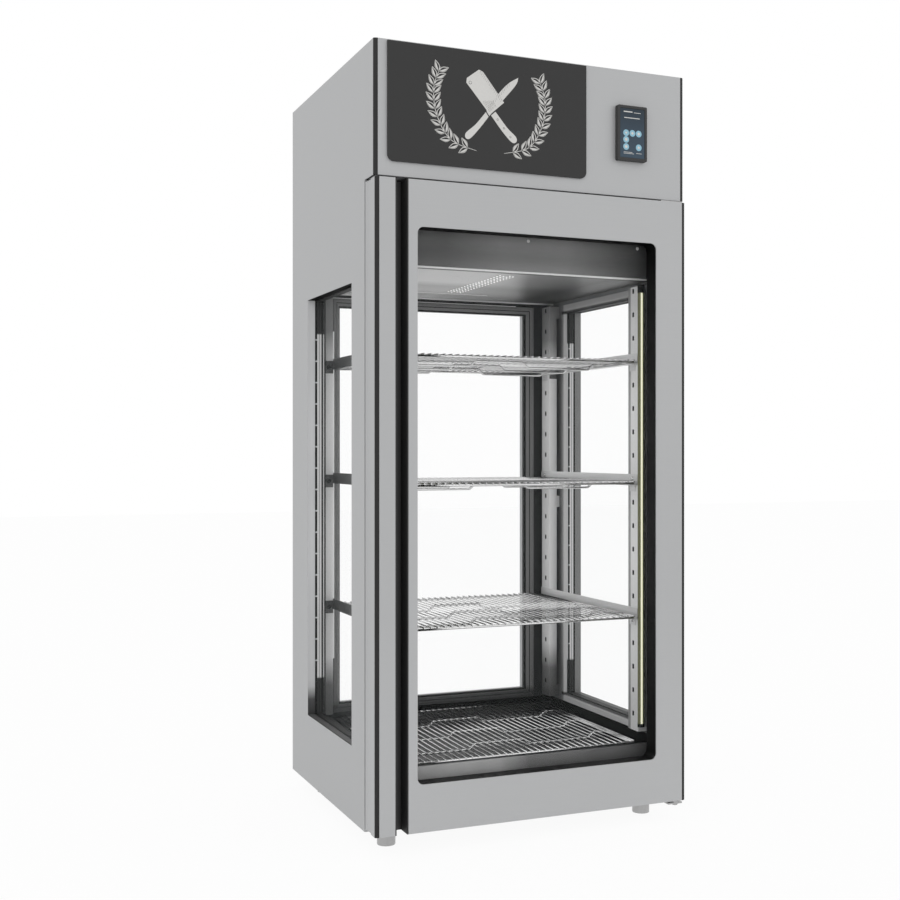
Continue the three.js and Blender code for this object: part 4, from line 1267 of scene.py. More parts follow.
@dataclass(kw_only=True)
class Engraving(Fitting):
    """Pale line work on the graphic panel: a cleaver and a knife crossed between leafy sprigs.

    Points and lengths of the design are shares of its reach, from its middle.

    Attributes:
        node: The panel that carries it.
        line: The width of a main line.
        hair: The width of a hatching line.
        relief: How far the lines stand out.
        inlay: How far dark marks stand out from pale fields.
        reach: Half the height of the design.
        lean: How far the tools lean, in radians.
        cleaver_blade: The outline of the cleaver's blade.
        cleaver_grip: Points round its handle.
        cleaver_rings: Its hole and rivets, each with its middle, its radius and its steps.
        cleaver_hatches: Its hatching, each with its first line, its last line and their count.
        knife_back: Points along the back of the knife's blade.
        knife_edge: Points from its tip down its edge.
        knife_grip: Points round its handle.
        knife_hatches: Its hatching.
        stem: Points along a sprig's stem.
        stem_steps: How many steps lead from one of them to the next.
        first_leaf: Steps from the stem's foot to the first pair of leaves.
        leaf_step: Steps from pair to pair.
        past_leaves: Steps that stay free at the stem's tip.
        leaf_turn: How far a leaf turns from the stem, in radians.
        leaf_length: The length of a leaf.
        leaf_widest: How far from its root it is widest.
        leaf_half_width: How far its curve is pulled out there.
        leaf_inside: How far from the root its filled half starts.
        leaf_steps: How many steps each part of its edge has.
    """

    node: str = "graphic_panel"
    line: float = 1.5 * MM
    hair: float = 0.8 * MM
    relief: float = 0.3 * MM
    inlay: float = 0.1 * MM
    reach: float = 92 * MM
    lean: float = 0.72
    cleaver_blade: Outline = (
        (-0.06, -0.05), (-0.06, 0.86), (0.02, 0.93), (0.40, 0.90), (0.45, 0.80), (0.42, -0.05),
    )
    cleaver_grip: Outline = (
        (-0.05, -0.08), (-0.06, -0.55), (-0.03, -0.86), (0.06, -0.93), (0.14, -0.84),
        (0.10, -0.55), (0.10, -0.08),
    )
    cleaver_rings: tuple[Ring, ...] = (
        (0.02, 0.80, 0.035, 16),
        (0.025, -0.25, 0.02, 12),
        (0.025, -0.5, 0.02, 12),
        (0.025, -0.75, 0.02, 12),
    )
    cleaver_hatches: tuple[Hatch, ...] = (
        (((0.36, 0.02), (0.43, 0.05)), ((0.36, 0.82), (0.43, 0.85)), 17),
        (((-0.02, 0.0), (0.0, 0.30)), ((0.19, 0.0), (0.21, 0.16)), 8),
    )
    knife_back: Outline = ((-0.05, -0.1), (-0.05, 0.45), (-0.04, 0.95), (0.03, 1.12))
    knife_edge: Outline = (
        (0.03, 1.12), (0.12, 0.80), (0.13, 0.35), (0.11, -0.02), (-0.05, -0.1),
    )
    knife_grip: Outline = (
        (-0.05, -0.13), (-0.07, -0.5), (-0.06, -0.85), (0.03, -0.92), (0.10, -0.82),
        (0.06, -0.5), (0.07, -0.1),
    )
    knife_hatches: tuple[Hatch, ...] = (
        (((0.06, 0.02), (0.12, 0.07)), ((0.06, 0.80), (0.12, 0.85)), 14),
    )
    stem: Outline = ((0.35, -0.95), (1.0, -0.75), (1.35, -0.2), (1.42, 0.4), (1.25, 0.9))
    stem_steps: int = 10
    first_leaf: int = 4
    leaf_step: int = 3
    past_leaves: int = 2
    leaf_turn: float = 0.75
    leaf_length: float = 0.27
    leaf_widest: float = 0.12
    leaf_half_width: float = 0.055
    leaf_inside: float = 0.13
    leaf_steps: int = 5

    def _turned(self, points: Outline, angle: float, mirror: int) -> list[Vector]:
        """Turns unit points by an angle, scales them and moves them to the panel's middle.

        Args:
            points: The points, where 1 is the reach.
            angle: The angle in radians.
            mirror: 1, or -1 to swap left and right.

        Returns:
            The points in x and z.
        """
        low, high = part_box(self.node)
        middle = Vector(((low.x + high.x) / 2, (low.z + high.z) / 2))
        cos, sin = math.cos(angle), math.sin(angle)
        made = []
        for x, z in points:
            turned = Vector((x * cos - z * sin, x * sin + z * cos)) * self.reach
            made.append(middle + Vector((turned.x * mirror, turned.y)))
        return made

    @staticmethod
    def _round(points: Outline, steps: int = 6) -> list[Flat]:
        """Draws a smooth line through points.

        Args:
            points: The points.
            steps: Steps from one to the next.

        Returns:
            The line's points.
        """
        made = []
        padded = [points[0], *points, points[-1]]
        for a, b, c, d in zip(padded, padded[1:], padded[2:], padded[3:]):
            for t in (step / steps for step in range(steps)):
                made.append(tuple(
                    0.5 * (2 * q + (r - p) * t + (2 * p - 5 * q + 4 * r - s) * t ** 2
                           + (3 * q - p - 3 * r + s) * t ** 3)
                    for p, q, r, s in zip(a, b, c, d)
                ))
        return [*made, tuple(points[-1])]

    @staticmethod
    def _rings(rings: Sequence[Ring]) -> list[Drawn]:
        """Gives closed fine round lines."""
        made = [circle(steps, radius, (x, z)) for x, z, radius, steps in rings]
        return [([*points, points[0]], True) for points in made]

    @staticmethod
    def _hatching(hatches: Sequence[Hatch]) -> list[Drawn]:
        """Gives fine lines side by side, at equal steps from a first one to a last one.

        Args:
            hatches: The first line, the last line and the count of each group.

        Returns:
            The lines, each marked as a fine one.
        """
        lines = []
        for first, last, count in hatches:
            for share in (step / (count - 1) for step in range(count)):
                ends = [Vector(start).lerp(Vector(stop), share) for start, stop in zip(first, last)]
                lines.append((ends, True))
        return lines

    def _cleaver(self) -> list[Drawn]:
        """Gives the cleaver's lines, handle down.

        Returns:
            Lines, each with a mark that says whether it is a fine one.
        """
        fields = [(self.cleaver_blade, False), (self._round(self.cleaver_grip), False)]
        return fields + self._rings(self.cleaver_rings) + self._hatching(self.cleaver_hatches)

    def _knife(self) -> list[Drawn]:
        """Gives the knife's lines, handle down.

        Returns:
            Lines with their marks, as for the cleaver.
        """
        blade = [*self._round(self.knife_back), *self._round(self.knife_edge)[1:-1]]
        fields = [(blade, False), (self._round(self.knife_grip), False)]
        return fields + self._hatching(self.knife_hatches)

    def _sprig(self) -> list[Drawn]:
        """Gives a curved stem with paired leaves.

        Returns:
            Lines, each with a mark that says whether it is a filled field.
        """
        stem = self._round(self.stem, self.stem_steps)
        lines = [(stem, False)]
        for index in range(self.first_leaf, len(stem) - self.past_leaves, self.leaf_step):
            root = Vector(stem[index])
            along = (Vector(stem[index + 1]) - root).normalized()
            for hand in (-1, 1):
                lean = Matrix.Rotation(hand * self.leaf_turn, 2) @ along
                out = Vector((-lean.y, lean.x)) * self.leaf_half_width
                tip, belly = root + lean * self.leaf_length, root + lean * self.leaf_widest
                upper = self._round([root, belly + out, tip], self.leaf_steps)
                lower = self._round([root, belly - out, tip], self.leaf_steps)
                half = [*(upper if hand > 0 else lower), root + lean * self.leaf_inside]
                lines += [(upper, False), (lower, False), (half, True)]
        return lines

    def build(self) -> None:
        """Makes pale fields and lines on the panel's face, and dark marks on the fields."""
        low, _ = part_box(self.node)
        pale, dark = Shape("panel_pale_work"), Shape("panel_dark_marks")
        under = self.relief - self.inlay / 2
        tools = ((self._knife(), -1, under), (self._cleaver(), 1, self.relief))
        for lines, mirror, relief in tools:
            for points, fine in lines:
                path = self._turned(points, self.lean, mirror)
                if fine:
                    dark.stroke(path, self.hair, low.y - relief - self.inlay, low.y)
                else:
                    pale.prism(path, low.y - relief, low.y)
        for mirror in (1, -1):
            for points, filled in self._sprig():
                path = self._turned(points, 0.0, mirror)
                if filled:
                    pale.prism(path, low.y - self.relief, low.y)
                else:
                    pale.stroke(path, self.line, low.y - self.relief, low.y)
        self.add(pale, Special.PRINT, Slot.GRAPHIC)
        self.add(dark, Slot.GRAPHIC)


@dataclass(kw_only=True)
class Window(Fitting):
    """What shows round one of the three fixed windows, from the pane's edge to the chamber.

    Attributes:
        wall: The wall that it is in.
        flange: How far the frame's face runs past the opening.
        face_depth: The thickness of the back frame's face.
        splay: How far the opening widens towards the chamber, and how deep the slope is.
        side_face_depth: The thickness of a side frame's face.
        side_splay: How far a side opening widens, and how deep its slope is.
        rebate: How far the pane and the jamb run behind the wall.
        cover: How far the pane's seal stands into the opening.
        tick_pitch: The step between the light ticks on a seal.
        tick: The length of a tick.
        tick_width: The width of a tick.
        lining: The thickness of the plates in a side window's outer reveal.
        rim: The width of the black line of painted shadow along the sill's outer edge.
        stripes: The strips of the back frame's slope: start, stop, how far sunk, finish.
        lap: The gap between the frame's face, its slope and its jamb.
        inner_chamfer: What is taken off the face's inner edge.
        outer_chamfer: What is taken off its outer edge.
        least: The least depth of the slope, at its inner edge.
        strip_depth: The thickness of the strips.
        skin: How far the layers of the pane's edge lie inside its faces.
        seal: The depth of the seal at each face.
        line: The thickness of the dark line between the pale layers.
        line_shift: How far that line lies towards the chamber from the pane's middle.
        clear: The gap between the reveal's plates and the wall.
        reveal_from: How far they start behind the pane.
        reveal_to: How far they stop short of the wall's face.
    """

    wall: Wall
    flange: float = 20 * MM
    face_depth: float = 4.7 * MM
    splay: float = 13.5 * MM
    side_face_depth: float = 1.7 * MM
    side_splay: float = 6 * MM
    rebate: float = 14.2 * MM
    cover: float = 1.5 * MM
    tick_pitch: float = 52 * MM
    tick: float = 3 * MM
    tick_width: float = 0.6 * MM
    lining: float = 0.4 * MM
    rim: float = 1.5 * MM
    # The black strips are painted shade in the grooves of the back frame's slope.
    stripes: tuple[tuple[float, float, float, Painted], ...] = (
        (0.0, 2.0 * MM, 1.0 * MM, Slot.BLACK_PAINT),
        (2.0 * MM, 8.6 * MM, 0.0, Special.FRAME_BACK),
        (8.6 * MM, 10.4 * MM, 1.0 * MM, Slot.BLACK_PAINT),
        (10.4 * MM, 13.4 * MM, 0.0, Special.FRAME_BACK),
    )
    lap: float = 0.1 * MM
    inner_chamfer: float = 0.4 * MM
    outer_chamfer: float = 0.8 * MM
    least: float = 0.2 * MM
    strip_depth: float = 2 * MM
    skin: float = 0.3 * MM
    seal: float = 4.0 * MM
    line: float = 0.9 * MM
    line_shift: float = 0.5 * MM
    clear: float = 0.05 * MM
    reveal_from: float = 0.2 * MM
    reveal_to: float = 0.3 * MM

    def __post_init__(self) -> None:
        """Works out the opening, and how depth runs from the chamber outwards."""
        self.name = self.wall.value
        low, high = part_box(f"{self.name}_window_frame")
        axis = 0 if self.wall is Wall.BACK else 1
        self.low = (low[axis] + self.flange, low.z + self.flange)
        self.high = (high[axis] - self.flange, high.z - self.flange)
        deep = 1 - axis
        self.outwards = -1 if self.wall is Wall.LEFT else 1
        self.inside = high[deep] if self.outwards < 0 else low[deep]
        self.depth = high[deep] - low[deep]
        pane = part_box(f"{self.name}_window_glass")
        self.pane = sorted(abs(corner[deep] - self.inside) for corner in pane)

    def place(self, across: float, up: float, deep: float) -> Vector:
        """Turns across, up and depth from the chamber into a point of the part."""
        far = self.inside + self.outwards * deep
        return Vector((across, far, up) if self.wall is Wall.BACK else (far, across, up))

    def _ring(
        self,
        label: str,
        profile: Sequence[Flat],
        finish: Painted,
        slot: Slot = Slot.DARK_TRIM,
        replaced: Sequence[str] = (),
    ) -> None:
        """Makes one mitred ring round the opening.

        Args:
            label: The piece's name after the window's.
            profile: Points, each with its way out past the opening and its depth.
            finish: The ring's finish.
            slot: Its slot.
            replaced: The solids that it stands for.
        """
        ring = Shape(f"{self.name}_{label}")
        ring.mitred(profile, self.low, self.high, self.place)
        self.add(ring, finish, slot, replaced)

    def _frame(self) -> None:
        """Makes the frame: a flat face, the slope down to the opening and the jamb behind it."""
        back = self.wall is Wall.BACK
        thick = self.face_depth if back else self.side_face_depth
        splay = self.splay if back else self.side_splay
        # The left side frame is painted shaded and the right one lit: painted light and shade.
        finish = {
            Wall.LEFT: Special.FRAME_DARK,
            Wall.RIGHT: Special.FRAME_SIDE,
            Wall.BACK: Special.FRAME_BACK,
        }[self.wall]
        inner, outer, lap = self.inner_chamfer, self.outer_chamfer, self.lap
        edge, near = self.flange, splay + lap
        face = [
            (near, thick), (near, inner), (near + inner, 0.0),
            (edge - outer, 0.0), (edge, outer), (edge, thick),
        ]
        self._ring("frame_face", face, finish, replaced=[f"{self.name}_window_frame"])
        if back:
            self._stripes()
        else:
            start, far = thick + lap, self.rebate
            slope = [(splay, self.least), (0.0, splay), (far, splay), (far, start), (splay, start)]
            self._ring("frame_slope", slope, finish)
        jamb = [(lap, near), (self.rebate, near), (self.rebate, self.depth), (lap, self.depth)]
        paint = (Slot.BLACK_PAINT, Slot.BLACK_PAINT) if back else (Special.SPACER, Slot.LINER)
        self._ring("jamb", jamb, *paint)

    def _stripes(self) -> None:
        """Makes the back frame's slope as a row of long strips with grooves between them, painted
        black as shade.
        """
        for number, (start, stop, sunk, finish) in enumerate(self.stripes):
            near = [(spot, max(self.splay - spot, self.least) + sunk) for spot in (start, stop)]
            far = [(spot, deep + self.strip_depth) for spot, deep in reversed(near)]
            self._ring(f"frame_strip_{number}", [*near, *far], finish)

    def _reveal(self) -> None:
        """Lines a side window's outer reveal with painted light and shade: a black hood, flanks lit
        on the left and shaded on the right, and a shaded sill with a black rim.
        """
        wall_low, wall_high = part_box(f"{self.name}_side_wall")
        outside = abs((wall_low.x if self.outwards < 0 else wall_high.x) - self.inside)
        near, far = self.pane[1] + self.reveal_from, outside - self.reveal_to
        left, right = self.low[0] + self.clear, self.high[0] - self.clear
        bottom, top = self.low[1] + self.clear, self.high[1] - self.clear
        floor, roof, rim = bottom + self.lining, top - self.lining, far - self.rim
        flank = Special.REVEAL_STEEL if self.wall is Wall.LEFT else Special.FLANK_DARK
        plates = {
            "hood": ((left, roof, near), (right, top, far), Special.REVEAL),
            "sill": ((left, bottom, near), (right, floor, rim), Special.SILL),
            "sill_edge": ((left, bottom, rim), (right, floor, far), Special.REVEAL),
            "front_flank": ((left, floor, near), (left + self.lining, roof, far), flank),
            "back_flank": ((right - self.lining, floor, near), (right, roof, far), flank),
        }
        for label, (start, stop, finish) in plates.items():
            plate = Shape(f"{self.name}_reveal_{label}")
            plate.box(*span_of(self.place(*start), self.place(*stop)))
            self.add(plate, finish, Slot.DARK_TRIM)

    def _layers(self) -> list[tuple[float, float, Painted, Slot]]:
        """Lists the layers of the pane's edge.

        Returns:
            The layers from the chamber out, each with its two depths, its finish and its slot.
        """
        inner, outer = self.pane[0] + self.skin, self.pane[1] - self.skin
        black = (Slot.BLACK_PAINT, Slot.BLACK_PAINT)
        if self.wall is Wall.BACK:
            return [(inner, outer, *black)]
        pale = (Special.SPACER, Slot.FINS)
        middle = sum(self.pane) / 2 - self.line_shift
        marks = (
            inner,
            self.pane[0] + self.seal,
            middle - self.line / 2,
            middle + self.line / 2,
            self.pane[1] - self.seal - self.line,
            outer,
        )
        finishes = (black, pale, black, pale, black)
        return [(near, far, *paint) for near, far, paint in zip(marks, marks[1:], finishes)]

    def _ticks(self, repeater: Repeater, near: float, far: float) -> None:
        """Makes the light ticks up both sides of one seal.

        Args:
            repeater: Sets copies at equal steps.
            near: The depth where the seal starts.
            far: The depth where it stops.
        """
        count = int((self.high[1] - self.low[1]) / self.tick_pitch)
        start, half = self.low[1] + self.tick_pitch / 2, self.tick_width / 2
        rows = []
        for edge in (self.low[0] + self.cover, self.high[0] - self.cover):
            unit = Shape(f"{self.name}_ticks_unit")
            first = self.place(edge - half, start, near)
            unit.box(*span_of(first, self.place(edge + half, start + self.tick, far)))
            run = (count, (0, 0, self.tick_pitch))
            rows.append(repeater.spread(unit, Special.SPACER, run))
        self.settle(merged(f"{self.name}_ticks", rows), Slot.FINS)

    def build(self, repeater: Repeater) -> None:
        """Makes the frame, the layers of the pane's edge and their ticks.

        Args:
            repeater: Sets copies at equal steps.
        """
        self._frame()
        layers = self._layers()
        for number, (near, far, finish, slot) in enumerate(layers):
            lip, rebate = -self.cover, self.rebate
            profile = [(lip, near), (rebate, near), (rebate, far), (lip, far)]
            self._ring(f"pane_layer_{number}", profile, finish, slot)
        if self.wall is not Wall.BACK:
            self._reveal()
            near, far, *_ = layers[-1 if self.wall is Wall.LEFT else 0]
            self._ticks(repeater, near, far)


@dataclass(kw_only=True)
class SlotBacking(Fitting):
    """A black liner inside a slotted upright, as painted shade in its slots: a strip with a pad
    behind every slot.

    Attributes:
        node: The upright.
        from_wall: How far the strip lies from the wall.
        thickness: The strip's thickness.
        margin: How far it stays from the upright's edges.
        foot: How far the lowest slot lies over the upright's foot.
        pitch: The step from slot to slot.
        width: The width of a slot.
        height: The height of a slot.
        sunk: How far a pad lies behind the upright's face.
    """

    node: str
    from_wall: float = 22.4 * MM
    thickness: float = 0.8 * MM
    margin: float = 2.4 * MM
    foot: float = 33.5 * MM
    pitch: float = 54.9 * MM
    width: float = 7.5 * MM
    height: float = 11 * MM
    sunk: float = 0.2 * MM

    def build(self) -> None:
        """Makes the strip behind the upright's face, with a pad in every slot."""
        low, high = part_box(self.node)
        left = (low.x + high.x) < 0
        near = low.x + self.from_wall if left else high.x - self.from_wall
        xs = sorted((near, near + self.thickness * (1 if left else -1)))
        strip = Shape(f"{self.node}_backing")
        ys = (low.y + self.margin, high.y - self.margin)
        strip.box((xs[0], ys[0], low.z), (xs[1], ys[1], high.z), self.bevel)
        face = high.x - self.sunk if left else low.x + self.sunk
        pads = sorted((face, xs[1] if left else xs[0]))
        middle = (low.y + high.y) / 2
        ys = (middle - self.width / 2, middle + self.width / 2)
        z = low.z + self.foot
        while z + self.height < high.z:
            strip.box((pads[0], ys[0], z), (pads[1], ys[1], z + self.height))
            z += self.pitch
        self.add(strip, Special.REVEAL, Slot.BLACK_PAINT)


@dataclass(kw_only=True)
class AirBand(Fitting):
    """A thin cover strip under the duct panel's slots, with staggered rows of punched holes whose
    rims glow as painted light.

    Attributes:
        node: The panel that it lies under.
        middle: Where the band lies across.
        width: How wide it is.
        from_front: Where it starts, behind the panel's front edge.
        length: How long it is.
        thickness: The strip's thickness.
        columns: How many columns of holes there are, an even number.
        pitch: The step from hole to hole in a column.
        radius: The outer radius of a hole's raised rim.
        rim: The height of that rim.
        sides: How many sides a rim has.
    """

    node: str = "duct_panel"
    middle: float = -18 * MM
    width: float = 44 * MM
    from_front: float = 24 * MM
    length: float = 326 * MM
    thickness: float = 0.5 * MM
    columns: int = 4
    pitch: float = 17 * MM
    radius: float = 2.1 * MM
    rim: float = 0.9 * MM
    sides: int = 8

    def build(self, repeater: Repeater) -> None:
        """Makes the strip and its holes.

        Args:
            repeater: Sets copies at equal steps.
        """
        low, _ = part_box(self.node)
        x0, x1 = self.middle - self.width / 2, self.middle + self.width / 2
        y0 = low.y + self.from_front
        strip = Shape("air_band_strip")
        bottom = low.z - self.thickness
        strip.box((x0, y0, bottom), (x1, y0 + self.length, low.z), self.bevel)
        self.add(strip, Special.CEILING, Slot.LINER)
        across = (self.width - 4 * self.radius) / (self.columns - 1)
        # The hole rims glow as painted light.
        unit = Shape("air_band_holes")
        first = Vector((x0 + 2 * self.radius, y0 + 2 * self.radius, bottom))
        for shift in (Vector((0, 0, 0)), Vector((across, self.pitch / 2, 0))):
            unit.dome(first + shift, Vector((0, 0, -1)), self.radius, self.rim, self.sides)
        rows = 1 + int((self.length - 4 * self.radius) / self.pitch)
        runs = ((self.columns // 2, (2 * across, 0, 0)), (rows, (0, self.pitch, 0)))
        self.settle(repeater.spread(unit, Special.HOLE, *runs), Slot.LINER)


@dataclass(kw_only=True)
class Lips(Fitting):
    """The folded lips along the header beam's lower edge and the duct panel's back edge, painted
    bright as highlights.

    Attributes:
        height: The height of a lip.
        depth: How far it runs under its panel.
        proud: How far it stands out from the panel's edge.
        lap: The gap between the back lip and the duct panel.
    """

    bevel: float = 0.8 * MM
    height: float = 4 * MM
    depth: float = 3 * MM
    proud: float = 1 * MM
    lap: float = 0.1 * MM

    def build(self) -> None:
        """Makes both lips."""
        low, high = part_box("front_header_beam")
        near, bottom = low.y - self.proud, low.z - self.proud
        front = Shape("beam_lip")
        end = (high.x, low.y + self.depth, low.z + self.height - self.proud)
        front.box((low.x, near, bottom), end, self.bevel)
        self.add(front, Special.LIP, Slot.LINER)
        low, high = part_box("duct_panel")
        back = Shape("duct_back_lip")
        start = (low.x, high.y - self.depth, low.z - self.height)
        back.box(start, (high.x, high.y + self.proud, low.z - self.lap), self.bevel)
        self.add(back, Special.LIP, Slot.LINER)


@dataclass(kw_only=True)
class BeamScrews(Fitting):
    """Small domed screw heads in the inner header beam, painted bright like the lips as highlights.

    Attributes:
        node: The beam.
        count: How many there are.
        pitch: The step from one to the next.
        middle: Where the middle one lies across.
        radius: A head's radius.
        dome: How far it stands out.
        above: How far it lies over the beam's lower edge.
    """

    node: str = "front_header_beam"
    count: int = 3
    pitch: float = 280 * MM
    middle: float = 9 * MM
    radius: float = 4 * MM
    dome: float = 2.4 * MM
    above: float = 72 * MM

    def build(self, repeater: Repeater) -> None:
        """Makes the screw heads on the beam's face.

        Args:
            repeater: Sets copies at equal steps.
        """
        low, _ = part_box(self.node)
        unit = Shape("beam_screw_heads")
        left = self.middle - self.pitch * (self.count - 1) / 2
        first = Vector((left, low.y, low.z + self.above))
        unit.dome(first, Vector((0, -1, 0)), self.radius, self.dome)
        heads = repeater.spread(unit, Special.LIP, (self.count, (self.pitch, 0, 0)))
        self.settle(heads, Slot.CHROME_WIRE)


@dataclass(kw_only=True)
class RunnerFitting(Fitting):
    """Something that is fixed to a shelf runner.

    Attributes:
        node: The runner.
        side: Its side of the cabinet.
        radius: A knob's radius.
    """

    node: str
    side: Side
    radius: float = 5.5 * MM


@dataclass(kw_only=True)
class RunnerKnobs(RunnerFitting):
    """The round knobs that hold a shelf runner in the slots of its two uprights, black on the left
    as painted shade.

    Attributes:
        from_end: How far a knob lies from the runner's end.
        sheet: The thickness of the runner.
        hook: How far the runner's hooks reach into the uprights.
        plate: The height of the runner's end plates.
        first_slot: How far the middle of the lowest slot lies over the upright's foot.
        slot_pitch: The step from slot to slot.
        proud: How far the knob stands out.
    """

    from_end: float = 22 * MM
    sheet: float = 2 * MM
    hook: float = 6 * MM
    plate: float = 34 * MM
    first_slot: float = 39 * MM
    slot_pitch: float = 54.9 * MM
    proud: float = 3 * MM

    def build(self) -> None:
        """Makes both knobs."""
        low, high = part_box(self.node)
        upright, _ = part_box(f"front_{self.side.hand}_upright")
        inward = -self.side.value
        reach = self.hook + self.sheet
        face = low.x + reach if inward > 0 else high.x - reach
        first = upright.z + self.first_slot
        step = round((low.z + self.plate / 2 - first) / self.slot_pitch)
        knobs = Shape(f"{self.node}_knobs")
        for y in (low.y + self.from_end, high.y - self.from_end):
            foot = Vector((face, y, first + step * self.slot_pitch))
            knobs.dome(foot, Vector((inward, 0, 0)), self.radius, self.proud)
        # Black on the left and chrome on the right: the left knobs' black is painted shade.
        self.add(knobs, Slot.BLACK_PAINT if self.side is Side.LEFT else Slot.CHROME_WIRE)


@dataclass(kw_only=True)
class RunnerBracket(RunnerFitting):
    """A plate, dark with painted shade, with a knob that ties a runner to the front of its back
    upright.

    Attributes:
        standoff: How far the upright's channel stands off the wall.
        thickness: The plate's thickness.
        height: Its height.
        proud: How far the knob stands out.
    """

    bevel: float = 0.3 * MM
    standoff: float = 8 * MM
    thickness: float = 1.4 * MM
    height: float = 31 * MM
    proud: float = 2.5 * MM

    def build(self) -> None:
        """Makes the plate and its knob."""
        low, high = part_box(self.node)
        post_low, post_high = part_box(f"back_{self.side.hand}_upright")
        if self.side is Side.LEFT:
            xs = (post_low.x + self.standoff, post_high.x)
        else:
            xs = (post_low.x, post_high.x - self.standoff)
        bottom = (low.z + high.z - self.height) / 2
        front = post_low.y - self.thickness
        plate = Shape(f"{self.node}_bracket")
        plate.box((xs[0], front, bottom), (xs[1], post_low.y, bottom + self.height), self.bevel)
        self.add(plate, Special.RUNNER, Slot.CHROME_WIRE)
        knob = Shape(f"{self.node}_bracket_knob")
        middle = Vector((sum(xs) / 2, front, bottom + self.height / 2))
        knob.dome(middle, Vector((0, -1, 0)), self.radius, self.proud)
        self.add(knob, Slot.BLACK_PAINT)


@dataclass(kw_only=True)
class Skirting(Fitting):
    """A black band along the foot of the two side walls and the back wall: painted shade.

    Attributes:
        floor: The height of its lower edge.
        front: Where it starts, behind the sill.
        side_gap: How far it lies behind the face of a side frame.
        back_gap: How far it lies behind the face of the back frame.
        thickness: Its thickness.
    """

    floor: float = 140.5 * MM
    front: float = -0.232
    side_gap: float = 2 * MM
    back_gap: float = 5 * MM
    thickness: float = 0.6 * MM

    def build(self) -> None:
        """Makes the three runs."""
        _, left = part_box("left_window_frame")
        back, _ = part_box("back_window_frame")
        half = abs(left.x) + self.side_gap
        rear = back.y + self.back_gap
        top = back.z - self.thickness
        shape = Shape("skirting")
        shape.box((-half, self.front, self.floor), (self.thickness - half, rear, top))
        shape.box((half - self.thickness, self.front, self.floor), (half, rear, top))
        shape.box((-half, rear - self.thickness, self.floor), (half, rear, top))
        self.add(shape, Special.REVEAL, Slot.BLACK_PAINT)


@dataclass(kw_only=True)
class BrightEdges(Fitting):
    """Thin strips of painted highlight inside: on the back left upright, over the back window, on
    the ceiling.

    Attributes:
        width: The width of the upright's strip.
        thickness: The thickness of the two strips that stand.
        bottom: The height of the upright's strip at its lower end.
        top: Its height at its upper end.
        back_top: How far the back strip lies under the duct panel.
        back_height: Its height.
        back_gap: How far it lies behind the back frame's face.
        back_inset: Where it starts and stops, in from the duct panel's left and right edge.
        seam_from_front: How far the ceiling's seam lies behind the duct panel's front edge.
        seam_start: Where the seam starts, in from the duct panel's left edge.
        seam_stop: Where it stops across.
        seam_width: Its width.
        seam_drop: How far it hangs under the duct panel.
    """

    width: float = 3 * MM
    thickness: float = 1 * MM
    bottom: float = 0.330
    top: float = 1.140
    back_top: float = 8 * MM
    back_height: float = 9 * MM
    back_gap: float = 3.2 * MM
    back_inset: Flat = (4 * MM, 100 * MM)
    seam_from_front: float = 378 * MM
    seam_start: float = 2 * MM
    seam_stop: float = 90 * MM
    seam_width: float = 2.5 * MM
    seam_drop: float = 0.5 * MM

    def build(self) -> None:
        """Makes the strips."""
        post_low, post_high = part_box("back_left_upright")
        wall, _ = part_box("back_window_frame")
        duct_low, duct_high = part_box("duct_panel")
        under, behind = duct_low.z - self.back_top, wall.y + self.back_gap
        seam = duct_low.y + self.seam_from_front
        bars = {
            "upright_edge": (
                (post_high.x, post_low.y, self.bottom),
                (post_high.x + self.width, post_low.y + self.thickness, self.top),
            ),
            "back_strip": (
                (duct_low.x + self.back_inset[0], behind, under - self.back_height),
                (duct_high.x - self.back_inset[1], behind + self.thickness, under),
            ),
            "ceiling_seam": (
                (duct_low.x + self.seam_start, seam, duct_low.z - self.seam_drop),
                (self.seam_stop, seam + self.seam_width, duct_low.z),
            ),
        }
        for name, (start, stop) in bars.items():
            bar = Shape(name)
            bar.box(start, stop, self.bevel)
            self.add(bar, Special.EDGE_STEEL, Slot.LINER)


